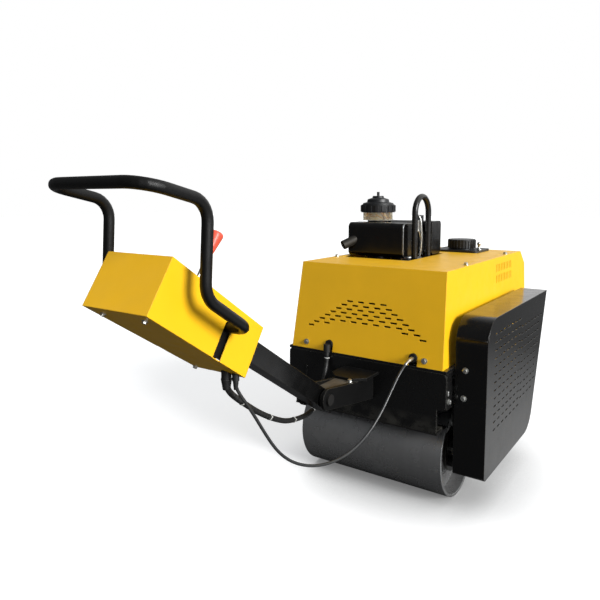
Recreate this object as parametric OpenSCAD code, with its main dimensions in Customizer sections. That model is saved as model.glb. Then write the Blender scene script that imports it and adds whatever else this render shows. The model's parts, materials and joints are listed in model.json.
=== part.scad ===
// Walk-behind tandem roller: two smooth steel drums under a slotted sheet-metal hood,
// an air-cooled engine standing up through the hood, a drive guard on the right side
// and a hinged steering arm with a control box and a bent handle.
// X points to the machine's right, Y forwards and Z up.

/* [Drums] */
// Outside diameter of each drum
drum_d = 354; // [320:1:380]
// Width of each drum
drum_w = 600; // [500:5:620]
// Thickness of a drum's rolled shell
drum_wall = 10; // [6:1:16]
// Depth of the recess at each end of a drum
drum_recess = 55; // [48:1:80]
// Thickness of a drum's end plates
end_plate_t = 10; // [6:1:16]
// Distance between the two drum axes
wheelbase = 470; // [440:5:520]
// Diameter of the axle that carries a drum
axle_d = 50; // [40:1:60]
// Outside diameter of the hub in a drum's end plate
hub_d = 96; // [80:1:110]
// Radial clearance between a pin or axle and its bore
running_gap = 0.08; // [0.04:0.01:0.1]
// Diameter of the carrier disc inside a drum's end
carrier_d = 170; // [150:1:200]
// Thickness of the carrier disc
carrier_t = 12; // [8:1:16]
// Diameter of a rubber buffer
buffer_d = 38; // [28:1:44]
// Clearance between a moving piece and a fixed one
moving_gap = 6; // [5:0.5:8]

/* [Chassis] */
// Clearance between a drum's end and a side rail
rail_gap = 19; // [14:1:40]
// Thickness of a side rail
rail_t = 12; // [8:1:16]
// Height of the rails' top edge above the floor
rail_top_z = 530; // [520:2:560]
// Depth of a rail between its drum legs
rail_h = 130; // [100:2:150]
// Overhang of the chassis behind the rear drum's axis
rear_overhang = 222; // [210:2:260]
// Overhang of the chassis ahead of the front drum's axis
front_overhang = 375; // [340:5:420]
// Thickness of the end aprons
apron_t = 10; // [6:1:14]
// Height of the aprons' lower edge above the floor
apron_bottom_z = 311; // [300:1:330]
// Thickness of the deck
deck_t = 10; // [6:1:14]
// Thickness of a drum scraper blade
scraper_t = 6; // [4:1:10]

/* [Hood] */
// Width of the hood at its foot
hood_foot_w = 634; // [600:2:640]
// Width of the hood at its top
hood_top_w = 606; // [580:2:620]
// Height of the hood above the deck
hood_h = 338; // [320:2:380]
// Forward lean of the rear panel over the hood's height
hood_rear_lean = 56; // [20:2:80]
// Length of the bevel between the top and front panels
hood_bevel_l = 68; // [40:2:90]
// Fall of that bevel
hood_bevel_h = 62; // [40:2:90]
// Thickness of the hood's sheet
hood_sheet = 3; // [2:0.5:5]
// Width of the side panels' folded flange on top
hood_flange_w = 32; // [20:1:40]
// Length of a cooling slot in the rear panel
slot_l = 27; // [20:1:34]
// Height of a cooling slot
slot_h = 6; // [4:0.5:8]
// Distance between slots in a row
slot_pitch = 47.2; // [40:0.2:50]
// Distance between rows of slots
slot_row_pitch = 15.4; // [12:0.2:18]
// Width of the cable notches in the rear panel's foot
notch_w = 32; // [26:1:40]

/* [Engine] */
// Width of the engine opening in the hood's top
opening_w = 327; // [310:1:340]
// Length of the engine opening
opening_l = 388; // [380:2:410]
// Length of the muffler box
muffler_l = 264; // [240:2:280]
// Depth of the muffler box
muffler_depth = 115; // [100:1:120]
// Height of the muffler box
muffler_h = 146; // [130:2:160]
// Corner radius of the muffler box
muffler_r = 20; // [12:1:30]
// Diameter of the pre-cleaner's cap
cap_d = 158; // [140:1:170]
// Diameter of the pre-cleaner's clear bowl
bowl_d = 134; // [110:1:138]
// Diameter of the lifting bail's bar
bail_bar_d = 25; // [18:1:30]
// Distance between the bail's legs
bail_w = 142; // [120:1:160]
// Height of the bail above the hood
bail_rise = 272; // [220:2:300]
// Diameter of the water filler's cap
filler_d = 130; // [110:1:150]

/* [Guard] */
// Distance from the deck's right edge to the guard's outer face
guard_w = 122; // [100:1:140]
// Thickness of the guard's sheet
guard_sheet = 4; // [3:0.5:6]
// Height of the guard's lower edge above the floor
guard_bottom_z = 155; // [130:1:160]
// Height of the guard's top above the floor
guard_top_z = 720; // [690:2:740]
// Radius of the guard's upper rear corner
guard_r = 95; // [60:1:120]
// Forward reach of the guard's top from the rear drum's axis
guard_reach = 660; // [620:5:680]
// Forward reach of the guard's lower edge from the rear drum's axis
guard_foot_reach = 436; // [430:2:480]
// Radius of the guard's lower front corner
guard_foot_r = 115; // [80:5:130]

/* [Hinge] */
// Distance of the arm's pivot behind the rear drum's axis
pivot_back = 530; // [490:5:560]
// Height of the arm's pivot above the floor
pivot_z = 475; // [450:1:480]
// Diameter of the pivot pin
pin_d = 25; // [20:1:30]
// Thickness of a hinge ear
ear_t = 12; // [8:1:14]
// Radius of a hinge ear's round end
ear_r = 36; // [30:1:40]
// Width of the bracket's top plate
bracket_w = 144; // [130:2:160]
// Depth of the bracket's top plate
bracket_depth = 128; // [110:2:134]
// Thickness of the bracket's plates
bracket_t = 10; // [8:1:14]

/* [Handle] */
// Slope of the steering arm
arm_pitch = 33.3; // [28:0.1:38]
// Outside width and height of the arm's square tube
arm_w = 60; // [50:1:70]
// Wall of the arm's square tube
arm_wall = 4; // [3:0.5:6]
// Distance along the arm from the pivot to the control box
box_start = 504; // [480:2:560]
// Length of the control box
box_l = 400; // [360:2:440]
// Height of the control box
box_h = 141; // [130:1:160]
// Height of the control box above the arm's axis
box_rise = 51; // [44:1:60]
// Width of the control box at its rear end
box_rear_w = 218; // [190:2:240]
// Width of the control box at its front end
box_front_w = 178; // [160:2:200]
// Thickness of the control box's sheet
box_sheet = 2.5; // [1.5:0.5:4]
// Diameter of the handle's tube
tube_d = 27; // [22:1:32]
// Width between the handle's legs, centre to centre
handle_w = 332; // [310:2:420]
// Height of the handle's upright legs between their bends
leg_h = 208; // [170:2:240]
// Length of the handle's grip part behind the legs
grip_l = 180; // [150:2:220]
// Slope of the handle's legs
leg_slope = 94; // [85:1:100]
// Rise of the grip part
grip_rise = 13; // [5:1:20]

/* [Cables] */
// Diameter of the control cable
cable_d = 9; // [6:1:12]
// Diameter of the wrapped harness
harness_d = 17; // [12:1:20]

/* [Hidden] */
$fn = 64;
// Overrun of every cut past the faces it opens
over = 1;

drum_r = drum_d / 2;
rear_axle_y = 0;
front_axle_y = wheelbase;
axle_ys = [rear_axle_y, front_axle_y];
bore_slack = 2 * running_gap;
end_plate_x = drum_w / 2 - drum_recess;
end_ring_share = 0.62;
end_ring_d = drum_d * end_ring_share;
end_ring_wall = drum_wall;
end_ring_t = end_plate_t / 2;

rail_in_x = drum_w / 2 + rail_gap;
rail_out_x = rail_in_x + rail_t;
hood_foot_half = hood_foot_w / 2;
hood_top_half = hood_top_w / 2;
hood_half = max(hood_foot_half, hood_top_half);
hood_inset = 14;
deck_half = max(rail_out_x, hood_foot_half + hood_inset);
rail_bottom_z = rail_top_z - rail_h;
chassis_rear_y = -rear_overhang;
chassis_front_y = wheelbase + front_overhang;
chassis_l = chassis_front_y - chassis_rear_y;
deck_top_z = rail_top_z + deck_t;
leg_foot_r = 82;
leg_top_half = 140;
apron_drop_inset = 2;
apron_drop_w = drum_w - 2 * apron_drop_inset;
apron_corner_r = 15;
lip_depth = 58;
lip_t = 8;
buffer_l = 36;
carrier_x = rail_in_x - carrier_t - buffer_l;
buffer_circle_share = 0.62;
buffer_turns = [45, 135, 225, 315];

hood_top_z = deck_top_z + hood_h;
hood_rear_y = chassis_rear_y;
hood_front_y = chassis_front_y;
seam_x = hood_top_half - hood_flange_w;
seam_gap = 1.5;
rear_lean_angle = atan2(hood_rear_lean, hood_h);
rear_skin = hood_sheet / cos(rear_lean_angle);
side_skin = hood_sheet / cos(atan2(hood_foot_half - hood_top_half, hood_h));
slot_rows_full = [9, 8, 7, 6, 5, 4];
slot_row_base_share = 0.365;
half_step_share = 0.5;
notch_h = 45;
notch_left_x = -145;
notch_right_x = 205;
vent_slot_l = 7;
vent_slot_h = 34;
vent_pitch = 24;
vent_count = 10;
vent_rows = 2;
vent_row_pitch = 46;
vent_start_y = 396;
vent_drop = 28;

opening_right_x = 42;
opening_left_x = opening_right_x - opening_w;
opening_rear_y = 86;
opening_front_y = opening_rear_y + opening_l;

bail_x = 20;
bail_foot_d = 48;
bail_foot_t = 10;
clear_gap = 2.5;

engine_w = 230;
engine_l = 320;
engine_h = 250;
engine_x = bail_x - bail_foot_d / 2 - moving_gap - engine_w / 2;
engine_y = (opening_rear_y + opening_front_y) / 2;
engine_top_z = deck_top_z + engine_h;
fin_t = 4;
fin_pitch = 11;
fin_count = 7;
head_w = 120;
head_l = 84;
head_x = -64;
head_y = 296;
cover_z = 985;
cover_h = 48;
barrel_share = 0.8;

muffler_right_x = -2;
muffler_rear_y = 130;
muffler_z = hood_top_z + clear_gap;
muffler_rim = 4;
muffler_foot_d = 44;
outlet_d = 40;
outlet_bore_d = 33;
outlet_l = 54;
outlet_inset = 36;
outlet_height_share = 0.52;
outlet_x = muffler_right_x - muffler_l + outlet_inset;
outlet_z = muffler_z + muffler_h * outlet_height_share;
outlet_turn = -38;
outlet_dip = 24;

tank_w = 284;
tank_depth = 104;
tank_h = 148;
tank_right_x = 32;
tank_rear_y = 352;
tank_r = 18;
tank_z = hood_top_z + clear_gap;
tank_foot_shares = [0.32, 0.72];
tank_cap_d = 52;
tank_cap_h = 24;
tank_cap_x = -58;

cleaner_x = -207;
cleaner_y = 299;
cleaner_d = 92;
cleaner_top_z = max(muffler_z + muffler_h, tank_z + tank_h) + clear_gap;
bowl_h = 36;
cap_skirt_h = 34;
cap_rib_count = 16;
cap_rib_w = 14;
cap_rib_t = 3;
cap_dome_h = 40;
nipple_d = 12;
nipple_h = 18;
// Profile of the cap's dome: shares of the cap's radius and of the dome's height
cap_dome_shares = [[0.9, 0], [0.86, 0.18], [0.64, 0.3], [0.6, 0.62], [0.34, 0.78], [0.3, 1], [0, 1]];

bail_y = tank_rear_y - clear_gap - bail_bar_d / 2 - bail_w / 2;

filler_x = 66;
filler_y = 640;
filler_flange_w = 214;
filler_flange_l = 190;
filler_flange_t = 10;
filler_flange_r = 24;
filler_neck_h = 6;
filler_h = 40;
filler_rib_count = 28;
filler_rib_w = 6;
filler_rib_t = 3;

guard_stand_off = 10;
guard_in_x = deck_half + guard_stand_off;
guard_out_x = deck_half + guard_w;
guard_rear_y = -168;
guard_lean = atan2(guard_reach - guard_foot_reach, guard_top_z - guard_bottom_z);
guard_l = guard_reach - guard_rear_y;
guard_h = guard_top_z - guard_bottom_z;
guard_heel_r = 16;
guard_corner_turn = (90 + guard_lean) / 2;
guard_foot_y = guard_foot_reach - guard_foot_r / tan(guard_corner_turn);
guard_slot_l = 28;
guard_slot_h = 6;
guard_slot_pitch_y = 50;
guard_slot_pitch_z = 29;
guard_slot_margin = 30;
// Lower rear corners of the two blocks of slots: shares of the guard's length and height
guard_block_shares = [[0.1, 0.276], [0.513, 0.317]];
guard_block_cols = [7, 8];
guard_block_rows = [13, 11];
guard_post_d = 26;
// Places of the posts: shares of the guard's length and of the rail's height
guard_post_shares = [[0.08, 0.54], [0.44, 0.15], [0.72, 0.54]];

pivot_y = -pivot_back;
plate_top_z = 496;
plate_cut = 36;
ear_gap = 8;
ear_in_x = arm_w / 2 + ear_gap;
ear_out_x = ear_in_x + ear_t;
web_drop = 96;
stop_plate_t = 8;
stop_gap = 0.5;
stop_lap = 5;
plate_rear_y = chassis_rear_y - bracket_depth;
stop_top_z = plate_top_z - bracket_t;
// Where the plate's lower edge meets the arm's top face
stop_rise = stop_top_z - stop_plate_t - pivot_z;
stop_rear_y = pivot_y + (arm_w / 2 + stop_gap - stop_rise * cos(arm_pitch)) / sin(arm_pitch);
heel_l = 70;
barrel_d = 52;
pin_head_d = 38;
pin_head_t = 8;

box_end = box_start + box_l;
box_bottom = box_rise - box_h;
box_slot_w = 32;
stub_share = 0.3425;
stub_along = box_start + box_l * stub_share;
stub_perp = -5;
elbow_r = 45;
leg_corner_share = 0.7975;
leg_corner_along = box_start + box_l * leg_corner_share;
leg_bend_r = 60;
grip_bend_r = 52;
cross_bend_r = 62;
collar_d = 44;
collar_l = 12;

lever_share = 0.5125;
lever_along = box_start + box_l * lever_share;
lever_slot_l = 74;
lever_slot_w = 22;
lever_foot_w = 54;
lever_foot_l = 34;
lever_foot_t = 8;
rod_d = 10;
rod_l = 131;
knob_d = 40;
knob_h = 58;
// Profile of the knob: shares of its radius and height
knob_shares = [[0, 0], [0.6, 0], [1, 0.86], [0.97, 0.95], [0.86, 1], [0, 1]];

grommet_t = 12;
grommet_z = deck_top_z + notch_h - notch_w / 2;
grommet_y = hood_rear_y + hood_rear_lean * (notch_h - notch_w / 2) / hood_h + rear_skin / 2;
grommet_face_y = grommet_y - grommet_t / 2;
gland_l = 60;
gland_wall = 5;
elbow_y = grommet_face_y - gland_wall - harness_d / 2 + over;
elbow_z = deck_top_z + over;
elbow_h = 30;
gland_inset = 18;
gland_along = box_start + gland_inset;
gland_drop = 16;
cable_gland_x = 70;
harness_gland_x = 38;

// Handle corners at rest, in the machine's own Y and Z
leg_foot_y = pivot_y - leg_corner_along * cos(arm_pitch) + stub_perp * sin(arm_pitch);
leg_foot_z = pivot_z + leg_corner_along * sin(arm_pitch) + stub_perp * cos(arm_pitch);
cross_y = leg_foot_y - leg_h * cos(leg_slope) - grip_l * cos(grip_rise);
handle_rear_y = cross_y - tube_d / 2;

// Lower face of the cable glands under the control box
gland_y = pivot_y - gland_along * cos(arm_pitch) + box_bottom * sin(arm_pitch);
gland_z = pivot_z + gland_along * sin(arm_pitch) + box_bottom * cos(arm_pitch) - gland_drop;

// The part's origin lies on the floor under the middle of its box
middle_x = (guard_out_x - deck_half) / 2;
middle_y = (chassis_front_y + handle_rear_y) / 2;

// Route of the control cable, from the box's gland to the hood
cable_lead = 24;
cable_sides = 8;
cable_steps = 3;
cable_route = [
    [cable_gland_x, gland_y, gland_z], [cable_gland_x, gland_y, gland_z - cable_lead / 2],
    [cable_gland_x, gland_y, gland_z - cable_lead],
    [82, -985, 600], [88, -955, 552], [94, -920, 495],
    [101, -878, 434], [110, -820, 384], [122, -746, 348], [134, -667, 329], [149, -576, 327],
    [164, -485, 358], [175, -419, 405], [184, -371, 458], [193, -326, 515], [200, -285, 552],
    [notch_right_x, grommet_face_y - cable_lead, grommet_z],
    [notch_right_x, grommet_face_y - cable_lead / 2, grommet_z], [notch_right_x, grommet_face_y, grommet_z]
];
// Route of the wrapped harness, from the box's gland to the hood
harness_lead = 30;
harness_sides = 10;
harness_steps = 2;
harness_route = [
    [harness_gland_x, gland_y, gland_z], [harness_gland_x, gland_y, gland_z - harness_lead / 2],
    [harness_gland_x, gland_y, gland_z - harness_lead],
    [36, -982, 610], [28, -925, 570], [16, -865, 530],
    [4, -800, 492], [-15, -714, 448], [-32, -640, 418], [-58, -520, 390], [-84, -430, 376],
    [-106, -370, 384], [-124, -315, 408], [-137, -270, 440], [-144, -243, 478],
    [notch_left_x, elbow_y, elbow_z - harness_lead], [notch_left_x, elbow_y, elbow_z - harness_lead / 2],
    [notch_left_x, elbow_y, elbow_z]
];

// Shared shapes

// A flat outline drawn in Y and Z, extruded along X from x0 to x1
module along_x(x0, x1) {
    translate([x0, 0, 0])
        rotate([90, 0, 90])
            linear_extrude(x1 - x0)
                children();
}

// A flat outline drawn in X and Z, extruded along Y from y0 to y1
module along_y(y0, y1) {
    translate([0, y1, 0])
        rotate([90, 0, 0])
            linear_extrude(y1 - y0)
                children();
}

// A round bar along X between two places
module bar_x(d, x0, x1) {
    translate([x0, 0, 0])
        rotate([0, 90, 0])
            cylinder(d = d, h = x1 - x0);
}

// A rectangle with round corners, from its lower left corner
module round_rect(w, h, r) {
    translate([r, 0])
        square([w - 2 * r, h]);
    translate([0, r])
        square([w, h - 2 * r]);
    for (x = [r, w - r], y = [r, h - r])
        translate([x, y])
            circle(r);
}

// A slot with round ends, centred, lying along the first axis
module slot(l, h) {
    square([l - h, h], center = true);
    for (side = [-1, 1])
        translate([side * (l - h) / 2, 0])
            circle(d = h);
}

module both_sides() {
    children();
    mirror([1, 0, 0])
        children();
}

// The frame of the steering arm: its own Y runs forwards and down along the arm
module on_arm() {
    translate([0, pivot_y, pivot_z])
        rotate([-arm_pitch, 0, 0])
            children();
}

function unit(v) = v / norm(v);

// Directions along a path, and a side axis carried along it without twisting
function path_dirs(pts) = [
    for (i = [0 : len(pts) - 1])
        unit(pts[min(i + 1, len(pts) - 1)] - pts[max(i - 1, 0)])
];
function carried(axis, dir) = unit(axis - (axis * dir) * dir);
function side_axes(dirs, i, axis) =
    i == len(dirs) ? [] :
        let (next = carried(axis, dirs[i]))
        concat([next], side_axes(dirs, i + 1, next));

// A round tube swept through the points of a path, with a ring of sides at each
module swept_tube(pts, d, sides) {
    last = len(pts) - 1;
    dirs = path_dirs(pts);
    first_axis = abs(dirs[0][2]) > abs(dirs[0][1]) ? [0, 1, 0] : [0, 0, 1];
    axes = side_axes(dirs, 0, first_axis);
    rings = [
        for (i = [0 : last], k = [0 : sides - 1])
            let (turn = k * 360 / sides)
            pts[i] + d / 2 * (cos(turn) * axes[i] + sin(turn) * cross(dirs[i], axes[i]))
    ];
    quads = [
        for (i = [0 : last - 1], k = [0 : sides - 1])
            let (next = (k + 1) % sides)
            [(i + 1) * sides + k, (i + 1) * sides + next, i * sides + next, i * sides + k]
    ];
    start_cap = [for (k = [0 : sides - 1]) k];
    end_cap = [for (k = [0 : sides - 1]) last * sides + sides - 1 - k];
    polyhedron(points = rings, faces = concat([start_cap], quads, [end_cap]));
}

module at_origin() {
    translate([-middle_x, -middle_y, 0])
        children();
}

// Drums and what carries them

module drum(y) {
    color("#3c3c3c")
        translate([0, y, drum_r])
            difference() {
                union() {
                    difference() {
                        bar_x(drum_d, -drum_w / 2, drum_w / 2);
                        bar_x(drum_d - 2 * drum_wall, -drum_w / 2 - over, drum_w / 2 + over);
                    }
                    both_sides() {
                        bar_x(drum_d - drum_wall, end_plate_x - end_plate_t, end_plate_x);
                        bar_x(hub_d, end_plate_x - 2 * end_plate_t, end_plate_x + end_ring_t);
                        difference() {
                            bar_x(end_ring_d, end_plate_x - end_plate_t, end_plate_x + end_ring_t);
                            bar_x(end_ring_d - 2 * end_ring_wall, end_plate_x - drum_recess,
                                end_plate_x + drum_recess);
                        }
                    }
                }
                bar_x(axle_d + bore_slack, -drum_w / 2 - over, drum_w / 2 + over);
            }
}

module drum_rear() {
    drum(rear_axle_y);
}

module drum_front() {
    drum(front_axle_y);
}

module axles() {
    color("#8a8a88")
        for (y = axle_ys)
            translate([0, y, drum_r])
                bar_x(axle_d, -rail_out_x, rail_out_x);
}

module carrier_discs() {
    color("#1c1c1c")
        for (y = axle_ys)
            translate([0, y, drum_r])
                both_sides()
                    difference() {
                        bar_x(carrier_d, carrier_x, carrier_x + carrier_t);
                        bar_x(axle_d, carrier_x - over, carrier_x + carrier_t + over);
                    }
}

module rubber_buffers() {
    color("#151515")
        for (y = axle_ys, turn = buffer_turns)
            translate([0, y, drum_r])
                rotate([turn, 0, 0])
                    translate([0, 0, carrier_d / 2 * buffer_circle_share])
                        both_sides()
                            bar_x(buffer_d, carrier_x + carrier_t, rail_in_x);
}

// Chassis

module rail_outline() {
    difference() {
        union() {
            translate([chassis_rear_y + apron_t, rail_bottom_z])
                square([chassis_l - 2 * apron_t, rail_h]);
            for (y = axle_ys) {
                translate([y, drum_r])
                    circle(leg_foot_r);
                polygon([
                    [y - leg_top_half, rail_bottom_z + over],
                    [y - leg_foot_r, drum_r],
                    [y + leg_foot_r, drum_r],
                    [y + leg_top_half, rail_bottom_z + over]
                ]);
            }
        }
        for (y = axle_ys)
            translate([y, drum_r])
                circle(d = axle_d);
    }
}

module rail_left() {
    color("#161616")
        along_x(-rail_out_x, -rail_in_x)
            rail_outline();
}

module rail_right() {
    color("#161616")
        along_x(rail_in_x, rail_out_x)
            rail_outline();
}

module deck() {
    color("#161616")
        translate([-deck_half, chassis_rear_y, rail_top_z])
            cube([2 * deck_half, chassis_l, deck_t]);
}

module apron_outline() {
    translate([-deck_half, rail_bottom_z])
        round_rect(2 * deck_half, rail_h, apron_corner_r);
    translate([-apron_drop_w / 2, apron_bottom_z])
        square([apron_drop_w, rail_bottom_z - apron_bottom_z + apron_corner_r]);
}

module rear_apron() {
    color("#161616") {
        along_y(chassis_rear_y, chassis_rear_y + apron_t)
            apron_outline();
        translate([-apron_drop_w / 2, chassis_rear_y, apron_bottom_z])
            cube([apron_drop_w, lip_depth, lip_t]);
    }
}

module front_apron() {
    color("#161616") {
        along_y(chassis_front_y - apron_t, chassis_front_y)
            apron_outline();
        translate([-apron_drop_w / 2, chassis_front_y - lip_depth, apron_bottom_z])
            cube([apron_drop_w, lip_depth, lip_t]);
    }
}

// Scraper blade: it ends just short of the drum's face
scraper_z = apron_bottom_z - scraper_t;
scraper_reach = sqrt(pow(drum_r + moving_gap, 2) - pow(scraper_z - drum_r, 2));
scraper_l = rear_overhang - scraper_reach;

module scraper_rear() {
    color("#2a2a2a")
        translate([-drum_w / 2, chassis_rear_y, scraper_z])
            cube([drum_w, scraper_l, scraper_t]);
}

// The front blade hangs on a plate of its own between the rails
module scraper_front() {
    color("#2a2a2a") {
        translate([-drum_w / 2, front_axle_y + scraper_reach, scraper_z])
            cube([drum_w, scraper_l, scraper_t]);
        translate([-drum_w / 2, front_axle_y + rear_overhang - apron_t, scraper_z])
            cube([drum_w, apron_t, rail_bottom_z - scraper_z]);
        translate([-rail_in_x, front_axle_y + rear_overhang - apron_t, rail_bottom_z])
            cube([2 * rail_in_x, apron_t, rail_h]);
    }
}

// Hood, split where its sheets meet

module hood_side_outline(skin_rear, skin) {
    polygon([
        [hood_rear_y + skin_rear, deck_top_z],
        [hood_rear_y + hood_rear_lean + skin_rear, hood_top_z - skin],
        [hood_front_y - hood_bevel_l - skin, hood_top_z - skin],
        [hood_front_y - skin, hood_top_z - hood_bevel_h - skin],
        [hood_front_y - skin, deck_top_z]
    ]);
}

module hood_rear_outline(skin) {
    polygon([
        [-hood_foot_half + skin, deck_top_z],
        [-hood_top_half + skin, hood_top_z + over],
        [hood_top_half - skin, hood_top_z + over],
        [hood_foot_half - skin, deck_top_z]
    ]);
}

module hood_solid() {
    intersection() {
        along_x(-hood_half, hood_half)
            hood_side_outline(0, 0);
        along_y(hood_rear_y - over, hood_front_y + over)
            hood_rear_outline(0);
    }
}

// The slots of the rear panel: an arch of full rows over two shorter feet
module rear_slots() {
    base_z = hood_h * slot_row_base_share;
    for (row = [0 : len(slot_rows_full) - 1])
        for (i = [0 : slot_rows_full[row] - 1])
            translate([(i - (slot_rows_full[row] - 1) / 2) * slot_pitch, base_z + row * slot_row_pitch])
                slot(slot_l, slot_h);
    widest = (slot_rows_full[0] - 1) / 2;
    for (side = [-1, 1]) {
        for (i = [0, 1])
            translate([side * (widest + half_step_share - i) * slot_pitch, base_z - slot_row_pitch])
                slot(slot_l, slot_h);
        translate([side * (widest + 1) * slot_pitch, base_z - 2 * slot_row_pitch])
            slot(slot_l, slot_h);
    }
}

// A cable notch, open at the panel's foot
module foot_notch(x) {
    translate([x - notch_w / 2, -over])
        square([notch_w, notch_h - notch_w / 2 + over]);
    translate([x, notch_h - notch_w / 2])
        circle(d = notch_w);
}

module hood_rear() {
    color("#f2c300")
        difference() {
            intersection() {
                along_x(-hood_half, hood_half)
                    difference() {
                        hood_side_outline(0, 0);
                        hood_side_outline(rear_skin, -over);
                    }
                along_y(hood_rear_y - over, hood_front_y + over)
                    hood_rear_outline(0);
            }
            translate([0, 0, deck_top_z])
                along_y(hood_rear_y - over, opening_rear_y) {
                    rear_slots();
                    foot_notch(notch_left_x);
                    foot_notch(notch_right_x);
                }
        }
}

// The inside of the rear and front panels, full height
module between_ends() {
    along_x(-hood_half - over, hood_half + over)
        polygon([
            [hood_rear_y + rear_skin, deck_top_z - over],
            [hood_rear_y + hood_rear_lean + rear_skin, hood_top_z + over],
            [hood_front_y - hood_bevel_l - hood_sheet, hood_top_z + over],
            [hood_front_y - hood_bevel_l - hood_sheet, hood_top_z - hood_sheet],
            [hood_front_y - hood_sheet, hood_top_z - hood_bevel_h - hood_sheet],
            [hood_front_y - hood_sheet, deck_top_z - over]
        ]);
}

module hood_front() {
    color("#f2c300")
        intersection() {
            difference() {
                hood_solid();
                between_ends();
            }
            translate([-hood_half, opening_front_y, deck_top_z])
                cube([2 * hood_half, hood_front_y - opening_front_y, hood_h]);
        }
}

module hood_side_panel() {
    color("#f2c300")
        difference() {
            intersection() {
                hood_solid();
                between_ends();
                translate([0, hood_rear_y, deck_top_z])
                    cube([hood_half, chassis_l, hood_h]);
            }
            along_y(hood_rear_y, hood_front_y)
                difference() {
                    hood_rear_outline(side_skin);
                    translate([seam_x, hood_top_z - hood_sheet])
                        square([hood_flange_w, hood_sheet + over]);
                }
            for (row = [0 : vent_rows - 1], i = [0 : vent_count - 1])
                translate([0, vent_start_y + i * vent_pitch,
                        hood_top_z - vent_drop - vent_slot_h / 2 - row * vent_row_pitch])
                    rotate([90, 0, 90])
                        linear_extrude(hood_half)
                            rotate([0, 0, 90])
                                slot(vent_slot_h, vent_slot_l);
        }
}

module hood_left() {
    mirror([1, 0, 0])
        hood_side_panel();
}

module hood_right() {
    hood_side_panel();
}

module hood_top() {
    color("#f2c300")
        difference() {
            intersection() {
                between_ends();
                translate([seam_gap - seam_x, hood_rear_y, hood_top_z - hood_sheet])
                    cube([2 * (seam_x - seam_gap), chassis_l, hood_sheet]);
            }
            translate([opening_left_x, opening_rear_y, hood_top_z - hood_sheet - over])
                cube([opening_w, opening_l, hood_sheet + 2 * over]);
        }
}

// Engine

module engine_block() {
    color("#262626")
        translate([engine_x - engine_w / 2, engine_y - engine_l / 2, deck_top_z])
            cube([engine_w, engine_l, engine_h]);
}

module cylinder_fin() {
    translate([-head_w / 2, -head_l / 2, 0])
        cube([head_w, head_l, fin_t]);
}

module engine_cylinder() {
    color("#9a9a98")
        translate([head_x, head_y, engine_top_z]) {
            cylinder(d = head_l * barrel_share, h = cover_z - engine_top_z);
            for (i = [0 : fin_count - 1])
                translate([0, 0, (i + 1) * fin_pitch])
                    cylinder_fin();
        }
}

module rocker_cover() {
    color("#b9bab8")
        translate([head_x - head_w / 2, head_y - head_l / 2, cover_z])
            linear_extrude(cover_h)
                round_rect(head_w, head_l, fin_pitch);
}

module muffler_outline() {
    translate([muffler_rear_y, muffler_z])
        round_rect(muffler_depth, muffler_h, muffler_r);
}

module muffler() {
    color("#101010") {
        along_x(muffler_right_x - muffler_l + muffler_rim, muffler_right_x - muffler_rim)
            muffler_outline();
        along_x(muffler_right_x - muffler_l, muffler_right_x)
            translate([muffler_rear_y + muffler_rim, muffler_z + muffler_rim])
                round_rect(muffler_depth - 2 * muffler_rim, muffler_h - 2 * muffler_rim,
                    muffler_r - muffler_rim);
        translate([head_x, muffler_rear_y + muffler_depth / 2, engine_top_z])
            cylinder(d = muffler_foot_d, h = muffler_z - engine_top_z + muffler_r);
    }
}

module muffler_outlet() {
    color("#2b2b28")
        difference() {
            translate([outlet_x, muffler_rear_y + muffler_r, outlet_z])
                rotate([90 + outlet_dip, 0, outlet_turn])
                    difference() {
                        cylinder(d = outlet_d, h = outlet_l + muffler_r);
                        translate([0, 0, muffler_r])
                            cylinder(d = outlet_bore_d, h = outlet_l + over);
                    }
            translate([muffler_right_x - muffler_l, muffler_rear_y, muffler_z])
                cube([muffler_l, muffler_depth, muffler_h]);
        }
}

module fuel_tank() {
    color("#101010")
        along_x(tank_right_x - tank_w, tank_right_x)
            translate([tank_rear_y, tank_z])
                round_rect(tank_depth, tank_h, tank_r);
    color("#262626")
        for (share = tank_foot_shares)
            translate([tank_right_x - tank_w * share, tank_rear_y + muffler_foot_d / 2, engine_top_z])
                cylinder(d = muffler_foot_d, h = tank_z + tank_r - engine_top_z);
}

module fuel_cap() {
    color("#141414")
        translate([tank_cap_x, tank_rear_y + tank_depth / 2, tank_z + tank_h])
            cylinder(d = tank_cap_d, h = tank_cap_h);
}

module air_cleaner() {
    color("#151515")
        translate([cleaner_x, cleaner_y, engine_top_z])
            cylinder(d = cleaner_d, h = cleaner_top_z - engine_top_z);
}

module cleaner_bowl() {
    color("#c9b98a", 0.6)
        translate([cleaner_x, cleaner_y, cleaner_top_z])
            cylinder(d = bowl_d, h = bowl_h);
}

module cleaner_cap() {
    color("#1e2022")
        translate([cleaner_x, cleaner_y, cleaner_top_z + bowl_h]) {
            for (i = [0 : cap_rib_count - 1])
                rotate([0, 0, i * 360 / cap_rib_count])
                    translate([cap_d / 2 - 3 * cap_rib_t, -cap_rib_w / 2, cap_rib_t])
                        cube([3 * cap_rib_t, cap_rib_w, cap_skirt_h - 2 * cap_rib_t]);
            rotate_extrude()
                polygon(concat(
                    [[0, 0], [cap_d / 2 - cap_rib_t, 0], [cap_d / 2 - cap_rib_t, cap_skirt_h]],
                    [for (s = cap_dome_shares) [cap_d / 2 * s[0], cap_skirt_h + cap_dome_h * s[1]]]
                ));
            cylinder(d = nipple_d, h = cap_skirt_h + cap_dome_h + nipple_h);
        }
}

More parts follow.
